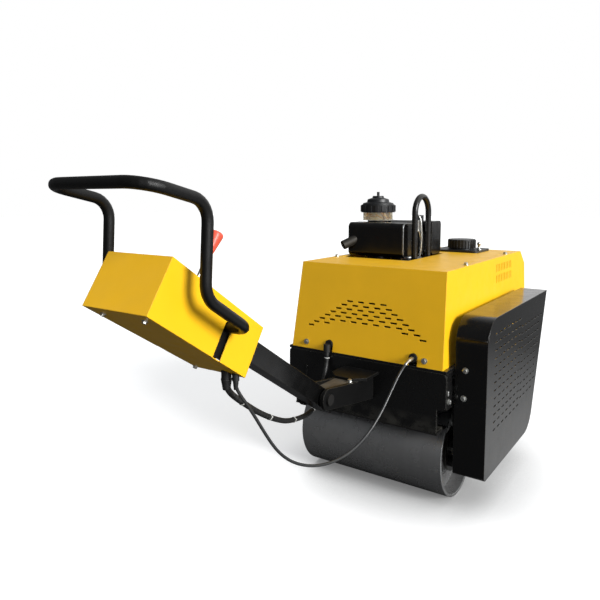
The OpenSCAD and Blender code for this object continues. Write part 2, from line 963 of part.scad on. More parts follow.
module lifting_bail() {
    leg = hood_top_z + bail_rise - bail_w / 2 - bail_bar_d / 2 - deck_top_z;
    color("#141414")
        translate([bail_x, bail_y, deck_top_z]) {
            for (side = [-1, 1])
                translate([0, side * bail_w / 2, 0]) {
                    cylinder(d = bail_bar_d, h = leg);
                    cylinder(d = bail_foot_d, h = bail_foot_t);
                }
            translate([0, 0, leg])
                rotate([90, 0, 90])
                    rotate_extrude(angle = 180)
                        translate([bail_w / 2, 0])
                            circle(d = bail_bar_d);
        }
}

module filler_flange() {
    color("#171717") {
        translate([filler_x - filler_flange_w / 2, filler_y - filler_flange_l / 2, hood_top_z])
            linear_extrude(filler_flange_t)
                round_rect(filler_flange_w, filler_flange_l, filler_flange_r);
        translate([filler_x, filler_y, hood_top_z])
            cylinder(d = filler_d - 4 * filler_rib_t, h = filler_flange_t + filler_neck_h);
    }
}

module filler_cap() {
    color("#1a1a1a")
        translate([filler_x, filler_y, hood_top_z + filler_flange_t + filler_neck_h]) {
            cylinder(d = filler_d - 2 * filler_rib_t, h = filler_h);
            for (i = [0 : filler_rib_count - 1])
                rotate([0, 0, i * 360 / filler_rib_count])
                    translate([filler_d / 2 - 3 * filler_rib_t, -filler_rib_w / 2, 0])
                        cube([3 * filler_rib_t, filler_rib_w, filler_h - filler_rib_t]);
        }
}

// Drive guard on the right side

module guard_outline(skin) {
    foot_r = guard_foot_r - skin;
    polygon([
        [guard_rear_y + skin, guard_bottom_z + guard_heel_r],
        [guard_rear_y + guard_heel_r, guard_bottom_z + skin],
        [guard_foot_y, guard_bottom_z + skin],
        [guard_foot_y + foot_r * cos(guard_lean), guard_bottom_z + guard_foot_r - foot_r * sin(guard_lean)],
        [guard_reach - skin * tan(guard_lean) - skin / cos(guard_lean), guard_top_z - skin],
        [guard_rear_y + guard_r, guard_top_z - skin],
        [guard_rear_y + skin, guard_top_z - guard_r]
    ]);
    translate([guard_rear_y + guard_heel_r, guard_bottom_z + guard_heel_r])
        circle(guard_heel_r - skin);
    translate([guard_foot_y, guard_bottom_z + guard_foot_r])
        circle(foot_r);
    translate([guard_rear_y + guard_r, guard_top_z - guard_r])
        circle(guard_r - skin);
}

// A block of slots that ends short of the guard's leaning front edge
module guard_block(b) {
    start_y = guard_rear_y + guard_l * guard_block_shares[b][0];
    start_z = guard_h * guard_block_shares[b][1];
    for (col = [0 : guard_block_cols[b] - 1], row = [0 : guard_block_rows[b] - 1]) {
        y = start_y + col * guard_slot_pitch_y;
        z = start_z + row * guard_slot_pitch_z;
        if (y + guard_slot_l + guard_slot_margin < guard_foot_reach + z * tan(guard_lean))
            translate([y, guard_bottom_z + z])
                square([guard_slot_l, guard_slot_h]);
    }
}

module side_guard() {
    color("#121212")
        difference() {
            along_x(guard_in_x, guard_out_x)
                guard_outline(0);
            along_x(guard_in_x - over, guard_out_x - guard_sheet)
                guard_outline(guard_sheet);
            along_x(guard_out_x - guard_sheet - over, guard_out_x + over) {
                guard_block(0);
                guard_block(1);
            }
        }
}

module guard_posts_right() {
    color("#161616")
        for (share = guard_post_shares)
            translate([0, guard_rear_y + guard_l * share[0], rail_bottom_z + rail_h * share[1]])
                bar_x(guard_post_d, rail_out_x, guard_out_x - guard_sheet);
}

// Hinge of the steering arm

module hinge_bracket() {
    color("#181818") {
        translate([0, 0, plate_top_z - bracket_t])
            linear_extrude(bracket_t)
                polygon([
                    [-bracket_w / 2, chassis_rear_y],
                    [bracket_w / 2, chassis_rear_y],
                    [bracket_w / 2, plate_rear_y + plate_cut],
                    [bracket_w / 2 - plate_cut, plate_rear_y],
                    [-bracket_w / 2 + plate_cut, plate_rear_y],
                    [-bracket_w / 2, plate_rear_y + plate_cut]
                ]);
        both_sides()
            difference() {
                along_x(ear_in_x, ear_out_x) {
                    polygon([
                        [chassis_rear_y, plate_top_z - bracket_t],
                        [chassis_rear_y, plate_top_z - bracket_t - web_drop],
                        [pivot_y, pivot_z - ear_r],
                        [pivot_y, pivot_z + ear_r],
                        [plate_rear_y, plate_top_z - bracket_t]
                    ]);
                    translate([pivot_y, pivot_z])
                        circle(ear_r);
                }
                translate([0, pivot_y, pivot_z])
                    bar_x(pin_d, ear_in_x - over, ear_out_x + over);
            }
    }
}

// A flat plate between the ears that the arm's top face comes to rest under
module hinge_stop() {
    color("#8a6d45")
        translate([-ear_in_x, stop_rear_y, stop_top_z - stop_plate_t])
            cube([2 * ear_in_x, plate_rear_y + stop_lap - stop_rear_y, stop_plate_t]);
}

module pivot_pin() {
    color("#a9aaa8")
        translate([0, pivot_y, pivot_z]) {
            bar_x(pin_d, -ear_out_x, ear_out_x);
            both_sides()
                bar_x(pin_head_d, ear_out_x, ear_out_x + pin_head_t);
        }
}

// Steering arm, control box and handle

module steering_arm() {
    color("#141414")
        on_arm()
            difference() {
                union() {
                    difference() {
                        translate([-arm_w / 2, -box_end + box_sheet, -arm_w / 2])
                            cube([arm_w, box_end - box_sheet + heel_l, arm_w]);
                        translate([-arm_w / 2 + arm_wall, -box_end, -arm_w / 2 + arm_wall])
                            cube([arm_w - 2 * arm_wall, box_end - barrel_d, arm_w - 2 * arm_wall]);
                    }
                    bar_x(barrel_d, -ear_in_x + stop_gap, ear_in_x - stop_gap);
                    translate([0, -stub_along, stub_perp])
                        both_sides()
                            bar_x(collar_d, arm_w / 2 - arm_wall, arm_w / 2 + collar_l);
                }
                bar_x(pin_d + bore_slack, -ear_in_x - over, ear_in_x + over);
                translate([0, -stub_along, stub_perp])
                    both_sides()
                        bar_x(tube_d + bore_slack, arm_w / 2, arm_w / 2 + collar_l + over);
            }
}

// The control box from above, tapering towards its front end
module box_plan(skin) {
    polygon([
        [-box_rear_w / 2 + skin, -box_end + skin],
        [box_rear_w / 2 - skin, -box_end + skin],
        [box_front_w / 2 - skin, -box_start - skin],
        [-box_front_w / 2 + skin, -box_start - skin]
    ]);
}

module control_box() {
    color("#f2c300")
        on_arm()
            difference() {
                translate([0, 0, box_bottom])
                    linear_extrude(box_h)
                        box_plan(0);
                translate([0, 0, box_bottom - over])
                    linear_extrude(box_h - box_sheet + over)
                        box_plan(box_sheet);
                translate([-arm_w / 2, -box_start - 2 * box_sheet, box_bottom - over])
                    cube([arm_w, 3 * box_sheet, arm_w / 2 - box_bottom + over]);
                translate([-box_rear_w / 2, -stub_along - box_slot_w / 2, box_bottom - over])
                    cube([box_rear_w, box_slot_w, stub_perp - box_bottom + over]);
                translate([0, -stub_along, stub_perp])
                    bar_x(box_slot_w, -box_rear_w / 2, box_rear_w / 2);
                translate([0, -lever_along, box_rise - box_sheet - over])
                    linear_extrude(box_sheet + 2 * over)
                        rotate([0, 0, 90])
                            slot(lever_slot_l, lever_slot_w);
            }
}

module box_base() {
    color("#e0b400")
        on_arm()
            difference() {
                translate([0, 0, box_bottom])
                    linear_extrude(box_sheet)
                        box_plan(box_sheet);
                both_sides()
                    translate([collar_d, -stub_along - box_slot_w / 2, box_bottom - over])
                        cube([box_rear_w, box_slot_w, box_sheet + 2 * over]);
            }
}

// The handle's corners on its right side, from the arm to the middle of the cross bar
function arm_slope(a) = [0, -cos(a - arm_pitch), sin(a - arm_pitch)];
foot_corner = [handle_w / 2, -leg_corner_along, stub_perp];
leg_corner = foot_corner + leg_h * arm_slope(leg_slope);
grip_corner = leg_corner + grip_l * arm_slope(grip_rise);
handle_corners = [
    [arm_w / 2, -stub_along, stub_perp],
    [handle_w / 2, -stub_along, stub_perp],
    foot_corner,
    leg_corner,
    grip_corner
];
handle_radii = [elbow_r, leg_bend_r, grip_bend_r, cross_bend_r];

function mirrored(p) = [-p[0], p[1], p[2]];
function reversed(list) = [for (i = [len(list) - 1 : -1 : 0]) list[i]];

// Points along a bend of radius r at corner b, between its neighbours a and c
function bend_points(a, b, c, r, steps) =
    let (u = unit(a - b), v = unit(c - b))
    let (turn = 180 - acos(u * v))
    let (start = b + u * r * tan(turn / 2))
    let (inward = unit(v - (v * u) * u))
    [for (k = [0 : steps]) start + r * (1 - cos(turn * k / steps)) * inward - r * sin(turn * k / steps) * u];

bend_steps = 7;
handle_sides = 20;
handle_side = [
    handle_corners[0],
    for (i = [1 : 4])
        each bend_points(
            handle_corners[i - 1],
            handle_corners[i],
            i == 4 ? mirrored(handle_corners[4]) : handle_corners[i + 1],
            handle_radii[i - 1], bend_steps)
];
handle_path = concat(handle_side, [for (p = reversed(handle_side)) mirrored(p)]);

module handle_bar() {
    color("#151515")
        on_arm()
            swept_tube(handle_path, tube_d, handle_sides);
}

// The travel lever stands square on a foot on top of the arm
module at_lever() {
    on_arm()
        translate([0, -lever_along, arm_w / 2])
            children();
}

module travel_lever() {
    color("#8d8d8a")
        at_lever() {
            translate([-lever_foot_w / 2, -lever_foot_l / 2, 0])
                cube([lever_foot_w, lever_foot_l, lever_foot_t]);
            cylinder(d = rod_d, h = rod_l);
        }
}

module lever_knob() {
    color("#e2543f")
        at_lever()
            translate([0, 0, rod_l])
                rotate_extrude()
                    polygon([for (s = knob_shares) [knob_d / 2 * s[0], knob_h * s[1]]]);
}

// Cables

module hood_grommets() {
    color("#101010") {
        for (x = [notch_left_x, notch_right_x])
            translate([x, grommet_y, grommet_z])
                rotate([90, 0, 0])
                    cylinder(d = notch_w - bore_slack, h = grommet_t, center = true);
        translate([notch_left_x, elbow_y, elbow_z])
            cylinder(d = harness_d + 2 * gland_wall, h = elbow_h);
    }
}

// Upright glands, cut off by the underside of the control box
module box_glands() {
    color("#101010")
        difference() {
            union() {
                translate([cable_gland_x, gland_y, gland_z])
                    cylinder(d = cable_d + 2 * gland_wall, h = gland_l);
                translate([harness_gland_x, gland_y, gland_z])
                    cylinder(d = harness_d + 2 * gland_wall, h = gland_l);
            }
            on_arm()
                translate([-box_rear_w / 2, -box_end, box_bottom])
                    cube([box_rear_w, box_l, box_h]);
        }
}

// Catmull-Rom points between the chosen points of a route
function spline(p0, p1, p2, p3, t) = 0.5 * (2 * p1 + (p2 - p0) * t
    + (2 * p0 - 5 * p1 + 4 * p2 - p3) * t * t + (3 * p1 - p0 - 3 * p2 + p3) * t * t * t);
function route_points(route, steps) = [
    for (i = [0 : len(route) - 2], k = [0 : steps - 1])
        spline(route[max(i - 1, 0)], route[i], route[i + 1], route[min(i + 2, len(route) - 1)], k / steps),
    route[len(route) - 1]
];

module control_cable() {
    color("#202020")
        swept_tube(route_points(cable_route, cable_steps), cable_d, cable_sides);
}

module wire_harness() {
    color("#161616")
        swept_tube(route_points(harness_route, harness_steps), harness_d, harness_sides);
}

at_origin() drum_rear();
at_origin() drum_front();
at_origin() axles();
at_origin() carrier_discs();
at_origin() rubber_buffers();
at_origin() rail_left();
at_origin() rail_right();
at_origin() deck();
at_origin() rear_apron();
at_origin() front_apron();
at_origin() scraper_rear();
at_origin() scraper_front();
at_origin() hood_rear();
at_origin() hood_front();
at_origin() hood_left();
at_origin() hood_right();
at_origin() hood_top();
at_origin() engine_block();
at_origin() engine_cylinder();
at_origin() rocker_cover();
at_origin() muffler();
at_origin() muffler_outlet();
at_origin() fuel_tank();
at_origin() fuel_cap();
at_origin() air_cleaner();
at_origin() cleaner_bowl();
at_origin() cleaner_cap();
at_origin() lifting_bail();
at_origin() filler_flange();
at_origin() filler_cap();
at_origin() side_guard();
at_origin() guard_posts_right();
at_origin() hinge_bracket();
at_origin() hinge_stop();
at_origin() pivot_pin();
at_origin() hood_grommets();
at_origin() control_cable();
at_origin() wire_harness();
at_origin() box_glands();
at_origin() steering_arm();
at_origin() control_box();
at_origin() box_base();
at_origin() handle_bar();
at_origin() travel_lever();
at_origin() lever_knob();
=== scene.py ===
"""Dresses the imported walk-behind tandem roller: finishes, cables, fasteners, engine trim and the stage."""

import json
import math

import bmesh
import bpy
from mathutils import Matrix, Vector


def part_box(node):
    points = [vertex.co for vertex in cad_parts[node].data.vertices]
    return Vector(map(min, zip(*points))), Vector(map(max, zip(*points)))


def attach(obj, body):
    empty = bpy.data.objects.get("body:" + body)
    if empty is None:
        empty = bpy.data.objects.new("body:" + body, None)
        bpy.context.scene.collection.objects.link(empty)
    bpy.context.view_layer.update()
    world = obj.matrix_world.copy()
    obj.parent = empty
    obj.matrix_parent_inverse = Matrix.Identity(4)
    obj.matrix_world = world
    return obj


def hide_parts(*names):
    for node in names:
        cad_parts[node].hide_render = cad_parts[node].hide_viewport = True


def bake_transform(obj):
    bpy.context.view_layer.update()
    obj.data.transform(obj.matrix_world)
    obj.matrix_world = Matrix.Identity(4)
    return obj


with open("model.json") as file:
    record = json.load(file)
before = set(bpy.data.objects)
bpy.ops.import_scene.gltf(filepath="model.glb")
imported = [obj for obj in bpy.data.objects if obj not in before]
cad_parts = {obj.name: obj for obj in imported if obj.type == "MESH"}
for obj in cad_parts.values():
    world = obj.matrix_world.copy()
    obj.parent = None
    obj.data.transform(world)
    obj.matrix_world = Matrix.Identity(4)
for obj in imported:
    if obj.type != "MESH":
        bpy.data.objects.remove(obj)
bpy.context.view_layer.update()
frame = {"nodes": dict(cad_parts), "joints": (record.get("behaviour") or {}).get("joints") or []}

bl_info = {
    "name": "Tandem roller dressing",
    "version": (1, 0, 0),
    "blender": (4, 5, 0),
    "location": "View3D > Sidebar > Roller",
    "description": "Adds finishes, cables, fasteners and a stage to the packed tandem roller",
    "category": "Object",
}

MM = 0.001
DECK_LOW, DECK_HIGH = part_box("deck")
REAR_OVERHANG = 222.0
ARM_PITCH = math.radians(33.3)
PIVOT = Vector(next(j["pos_m"] for j in frame["joints"] if j["name"] == "handle_fold"))


def at(x, y, z):
    """A place in the machine's own millimetres (Y from the rear drum's axis), in the row frame in metres."""
    mid_x = (DECK_LOW.x + DECK_HIGH.x) / 2
    return Vector((mid_x + x * MM, DECK_LOW.y + (REAR_OVERHANG + y) * MM, z * MM))


def on_arm(x, along, perp):
    """A place given along and across the sloping steering arm, in the row frame."""
    c, s = math.cos(ARM_PITCH), math.sin(ARM_PITCH)
    return PIVOT + Vector((x, -along * c + perp * s, along * s + perp * c)) * MM


def linear(code):
    """An sRGB hex colour as linear RGBA."""
    parts = [int(code[i : i + 2], 16) / 255 for i in (1, 3, 5)]
    return [p / 12.92 if p <= 0.04045 else ((p + 0.055) / 1.055) ** 2.4 for p in parts] + [1.0]


def colour(name, about, code):
    return bpy.props.FloatVectorProperty(
        name=name, description=about, subtype="COLOR", size=4, min=0, max=1, default=linear(code)
    )


def length(name, about, mm):
    return bpy.props.FloatProperty(name=name, description=about, default=mm * MM, min=0.0005, unit="LENGTH")


class RollerColours(bpy.types.PropertyGroup):
    """Colours of the roller's finishes"""

    hood: colour("Hood", "Yellow enamel of the hood and the control box", "#F5BC1A")
    chassis: colour("Chassis", "Black enamel of the chassis", "#111111")
    guard: colour("Guard", "Glossy black of the guard, the arm and the handle", "#080808")
    drum: colour("Drum", "Satin dark steel of the drums", "#929292")
    knob: colour("Knob", "Red plastic of the lever's knob", "#D9553F")
    dust: colour("Dust", "Dry dust on faces that look up", "#7F7C72")


class RollerSizes(bpy.types.PropertyGroup):
    """Sizes of the pieces that dress the roller"""

    cable: length("Control cable", "Diameter of the control cable", 9)
    harness: length("Harness", "Diameter of the wrapped harness", 17)
    bolt: length("Bolt head", "Width of a bolt's hexagon across its corners", 17)
    nut: length("Box nut", "Width of a nut under the control box across its corners", 12)
    tie: length("Cable tie", "Width of a cable tie", 3.5)
    pipe: length("Injection pipe", "Diameter of the engine's steel pipe", 7)
    rod: length("Throttle rod", "Diameter of the rod beside the engine", 5)
    bead: length("Rolled bead", "Diameter of the bead round the muffler's end", 5)


# Finishes

# The Mix node's sockets for colours share their names with others, so they go by number
FACTOR, COLOUR_A, COLOUR_B, MIXED = 0, 6, 7, 2


def feed(tree, node, inputs):
    """Gives a node its inputs: each takes a value or another node's socket."""
    for key, value in inputs.items():
        if isinstance(value, bpy.types.NodeSocket):
            tree.links.new(value, node.inputs[key])
        else:
            node.inputs[key].default_value = value


def add(tree, kind, inputs=None, **settings):
    """Adds a node with its settings, values and links."""
    made = tree.nodes.new(kind)
    for key, value in settings.items():
        setattr(made, key, value)
    feed(tree, made, inputs or {})
    return made


def start_finish(name):
    """An empty material with its shader, and the object's own coordinates and normal."""
    finish = bpy.data.materials.new(name)
    finish.use_nodes = True
    tree = finish.node_tree
    tree.nodes.clear()
    shader = add(tree, "ShaderNodeBsdfPrincipled")
    add(tree, "ShaderNodeOutputMaterial", {"Surface": shader.outputs["BSDF"]})
    return tree, shader, add(tree, "ShaderNodeTexCoord").outputs


def per_mm(size):
    """The scale of a pattern whose patches are about this many millimetres wide."""
    return 1 / (size * MM)


def shade(base, factor):
    """A colour made darker or lighter."""
    return [c * factor for c in base[:3]] + [1.0]


def clouded(tree, place, size_mm, detail, dark, light):
    """Clouds about this many millimetres wide, and a tone that goes from dark to light with them."""
    cloud = add(
        tree, "ShaderNodeTexNoise", {"Vector": place, "Scale": per_mm(size_mm), "Detail": detail}
    ).outputs["Fac"]
    tone = add(
        tree, "ShaderNodeMix", {FACTOR: cloud, COLOUR_A: dark, COLOUR_B: light}, data_type="RGBA"
    ).outputs[MIXED]
    return cloud, tone


def off_flat(tree, fold):
    """How well a normal that is rounded over folds agrees with the flat face: below 1 there is an edge."""
    flat = add(tree, "ShaderNodeNewGeometry").outputs["Normal"]
    return add(tree, "ShaderNodeVectorMath", {0: fold, 1: flat}, operation="DOT_PRODUCT").outputs["Value"]


def paint(name, base, dust_colour, roughness, specular, peel, edge, dust, low_dust_and_sheen=0.0, fold_mm=3):
    """Sprayed paint: slight clouds of tone, dimples that break up reflections, edges that catch
    the light and are rubbed thin, dust on what looks up, and a band low over the drums that is dust and a
    painted sheen."""
    cloud_mm, patch_mm = 170, 45
    # Sprayed dimples are about 1 mm wide; they are drawn 5 mm wide so that they show
    dimple_mm, dimple_depth = 5, 0.4
    # Heights in millimetres of the low band of dust and painted sheen
    dust_and_sheen_below, clean_above = 335, 375
    tree, shader, own = start_finish(name)
    place = own["Object"]
    _, tone = clouded(tree, place, cloud_mm, 3.0, shade(base, 0.9), shade(base, 1.1))
    fold = add(tree, "ShaderNodeBevel", {"Radius": fold_mm * MM}, samples=4).outputs["Normal"]
    rubbed = add(
        tree,
        "ShaderNodeMapRange",
        {"Value": off_flat(tree, fold), "From Min": 0.95, "From Max": 0.75, "To Max": edge},
    ).outputs["Result"]
    edged = add(
        tree,
        "ShaderNodeMix",
        {FACTOR: rubbed, COLOUR_A: tone, COLOUR_B: shade(dust_colour, 1.3)},
        data_type="RGBA",
    ).outputs[MIXED]
    patch = add(
        tree, "ShaderNodeTexNoise", {"Vector": place, "Scale": per_mm(patch_mm), "Detail": 6.0}
    ).outputs["Fac"]
    up = add(tree, "ShaderNodeSeparateXYZ", {"Vector": own["Normal"]}).outputs["Z"]
    height = add(tree, "ShaderNodeSeparateXYZ", {"Vector": place}).outputs["Z"]
    lying = add(
        tree, "ShaderNodeMapRange", {"Value": up, "From Min": 0.4, "From Max": 0.95, "To Max": dust}
    ).outputs["Result"]
    # A band low over the drums painted lighter: partly dust, partly a painted sheen standing in for light on
    # the apron's lower edge
    low = add(
        tree,
        "ShaderNodeMapRange",
        {"Value": height, "From Min": clean_above * MM, "From Max": dust_and_sheen_below * MM, "To Max": low_dust_and_sheen},
    ).outputs["Result"]
    amount = add(tree, "ShaderNodeMath", {0: lying, 1: low}, operation="MAXIMUM").outputs[0]
    broken = add(
        tree, "ShaderNodeMapRange", {"Value": patch, "From Min": 0.36, "From Max": 0.66}
    ).outputs["Result"]
    film = add(tree, "ShaderNodeMath", {0: amount, 1: broken}, operation="MULTIPLY").outputs[0]
    dust_and_sheen = add(
        tree, "ShaderNodeMix", {FACTOR: film, COLOUR_A: edged, COLOUR_B: dust_colour}, data_type="RGBA"
    ).outputs[MIXED]
    scuffed = add(
        tree,
        "ShaderNodeMapRange",
        {"Value": patch, "From Min": 0.35, "From Max": 0.75, "To Min": roughness, "To Max": roughness + 0.1},
    ).outputs["Result"]
    spray = add(
        tree, "ShaderNodeTexNoise", {"Vector": place, "Scale": per_mm(dimple_mm), "Detail": 1.0}
    ).outputs["Fac"]
    dimples = add(
        tree,
        "ShaderNodeBump",
        {"Height": spray, "Strength": peel, "Distance": dimple_depth * MM, "Normal": fold},
    ).outputs["Normal"]
    feed(
        tree,
        shader,
        {"Base Color": dust_and_sheen, "Roughness": scuffed, "Normal": dimples, "Specular IOR Level": specular},
    )


def metal(name, code, metallic, roughness, grain_mm, depth):
    """Bare, plated or cast metal: the grain of its making in tone and gloss, and tiny pits."""
    pit_depth = 0.6
    base = linear(code)
    tree, shader, own = start_finish(name)
    grain, tone = clouded(tree, own["Object"], grain_mm, 5.0, shade(base, 0.6), shade(base, 1.3))
    gloss = add(
        tree, "ShaderNodeMapRange", {"Value": grain, "To Min": roughness + 0.2, "To Max": roughness - 0.15}
    ).outputs["Result"]
    pits = add(
        tree, "ShaderNodeBump", {"Height": grain, "Strength": depth, "Distance": pit_depth * MM}
    ).outputs["Normal"]
    feed(tree, shader, {"Base Color": tone, "Roughness": gloss, "Normal": pits, "Metallic": metallic})


def moulded(name, base, roughness, grain_mm, depth):
    """Moulded plastic or rubber: an even body colour with the fine grain of the mould."""
    cloud_mm, fold_mm, grain_depth = 60, 1.5, 0.5
    tree, shader, own = start_finish(name)
    place = own["Object"]
    cloud, tone = clouded(tree, place, cloud_mm, 3.0, shade(base, 0.8), shade(base, 1.2))
    gloss = add(
        tree, "ShaderNodeMapRange", {"Value": cloud, "To Min": roughness - 0.12, "To Max": roughness + 0.16}
    ).outputs["Result"]
    mould = add(
        tree, "ShaderNodeTexNoise", {"Vector": place, "Scale": per_mm(grain_mm), "Detail": 2.0}
    ).outputs["Fac"]
    fold = add(tree, "ShaderNodeBevel", {"Radius": fold_mm * MM}, samples=4).outputs["Normal"]
    grain = add(
        tree,
        "ShaderNodeBump",
        {"Height": mould, "Strength": depth, "Distance": grain_depth * MM, "Normal": fold},
    ).outputs["Normal"]
    feed(tree, shader, {"Base Color": tone, "Roughness": gloss, "Normal": grain})


def drum_steel(base):
    """Rolled steel under a worn dark coat: faint rings, soft scuffs, a satin sheen and rims painted lighter
    as a highlight.
    """
    ring_mm, scuff_mm, fold_mm, scuff_depth = 12, 70, 4, 0.8
    # The pattern is drawn out round the drum, so that it reads as rings
    drawn_out = (1.0, 0.03, 0.03)
    tree, shader, own = start_finish("Worn drum steel")
    place = own["Object"]
    round_drum = add(tree, "ShaderNodeMapping", {"Vector": place, "Scale": drawn_out}).outputs["Vector"]
    _, tone = clouded(tree, round_drum, ring_mm, 4.0, shade(base, 0.92), shade(base, 1.08))
    scuffs = add(
        tree, "ShaderNodeTexNoise", {"Vector": place, "Scale": per_mm(scuff_mm), "Detail": 6.0}
    ).outputs["Fac"]
    mottled = add(
        tree, "ShaderNodeMapRange", {"Value": scuffs, "From Min": 0.5, "From Max": 0.75, "To Max": 0.35}
    ).outputs["Result"]
    worn = add(
        tree, "ShaderNodeMix", {FACTOR: mottled, COLOUR_A: tone, COLOUR_B: shade(base, 1.5)}, data_type="RGBA"
    ).outputs[MIXED]
    fold = add(tree, "ShaderNodeBevel", {"Radius": fold_mm * MM}, samples=4).outputs["Normal"]
    # A painted highlight: the rims' folds are painted a lighter steel
    rim = add(
        tree, "ShaderNodeMapRange", {"Value": off_flat(tree, fold), "From Min": 0.98, "From Max": 0.85}
    ).outputs["Result"]
    rim_highlighted = add(
        tree, "ShaderNodeMix", {FACTOR: rim, COLOUR_A: worn, COLOUR_B: linear("#A3A6A6")}, data_type="RGBA"
    ).outputs[MIXED]
    gloss = add(
        tree, "ShaderNodeMapRange", {"Value": scuffs, "To Min": 0.18, "To Max": 0.36}
    ).outputs["Result"]
    marks = add(
        tree,
        "ShaderNodeBump",
        {"Height": scuffs, "Strength": 0.08, "Distance": scuff_depth * MM, "Normal": fold},
    ).outputs["Normal"]
    feed(tree, shader, {"Base Color": rim_highlighted, "Roughness": gloss, "Normal": marks, "Metallic": 0.7})


def clear_plastic():
    """Clear polycarbonate, slightly yellowed: it shows the vanes inside and keeps a sharp highlight."""
    haze_mm = 30
    tree, shader, own = start_finish("Clear polycarbonate")
    haze, tone = clouded(tree, own["Object"], haze_mm, 3.0, linear("#FFFDF4"), linear("#F3E9C8"))
    gloss = add(tree, "ShaderNodeMapRange", {"Value": haze, "To Min": 0.02, "To Max": 0.16}).outputs["Result"]
    feed(tree, shader, {"Base Color": tone, "Roughness": gloss, "Transmission Weight": 0.9, "IOR": 1.58})


def wound_tape():
    """Cloth tape wound on the harness: a lap every 20 mm with its edge standing a little proud."""
    lap_mm, lip_depth = 20, 1.2
    # The wave texture repeats each tau / 20 of its scaled vector
    lap_scale = math.tau * per_mm(lap_mm) / 20
    tree, shader, _ = start_finish("Wound loom tape")
    along = add(tree, "ShaderNodeUVMap", uv_map="along").outputs["UV"]
    laps = add(
        tree,
        "ShaderNodeTexWave",
        {"Vector": along, "Scale": lap_scale, "Distortion": 1.2, "Detail": 2.0},
        bands_direction="X",
        wave_profile="SAW",
    ).outputs["Fac"]
    tone = add(
        tree,
        "ShaderNodeMix",
        {FACTOR: laps, COLOUR_A: linear("#0B0B0B"), COLOUR_B: linear("#262625")},
        data_type="RGBA",
    ).outputs[MIXED]
    gloss = add(tree, "ShaderNodeMapRange", {"Value": laps, "To Min": 0.4, "To Max": 0.58}).outputs["Result"]
    lips = add(
        tree, "ShaderNodeBump", {"Height": laps, "Strength": 0.5, "Distance": lip_depth * MM}
    ).outputs["Normal"]
    feed(tree, shader, {"Base Color": tone, "Roughness": gloss, "Normal": lips})


FINISH_NODES = {
    "Yellow sprayed enamel": "hood_rear hood_front hood_left hood_right hood_top control_box box_base",
    "Black chassis enamel": "rail_left rail_right deck rear_apron front_apron lifting_bail carrier_discs "
    "guard_posts_right",
    "Matt bracket enamel": "hinge_bracket",
    "Black gloss powder coat": "side_guard steering_arm",
    "Black tube enamel": "handle_bar",
    "Heatproof black enamel": "muffler fuel_tank",
    "Worn drum steel": "drum_rear drum_front",
    "Zinc-plated steel": "axles travel_lever",
    "Dark scraper steel": "scraper_rear scraper_front pivot_pin",
    "Cast iron": "engine_block",
    "Cast aluminium": "engine_cylinder rocker_cover",
    "Sooted steel": "muffler_outlet",
    "Black moulded ABS": "fuel_cap air_cleaner cleaner_cap filler_flange filler_cap",
    "Black rubber": "rubber_buffers hood_grommets box_glands",
    "Dusty primer": "hinge_stop",
    "Red moulded ABS": "lever_knob",
}


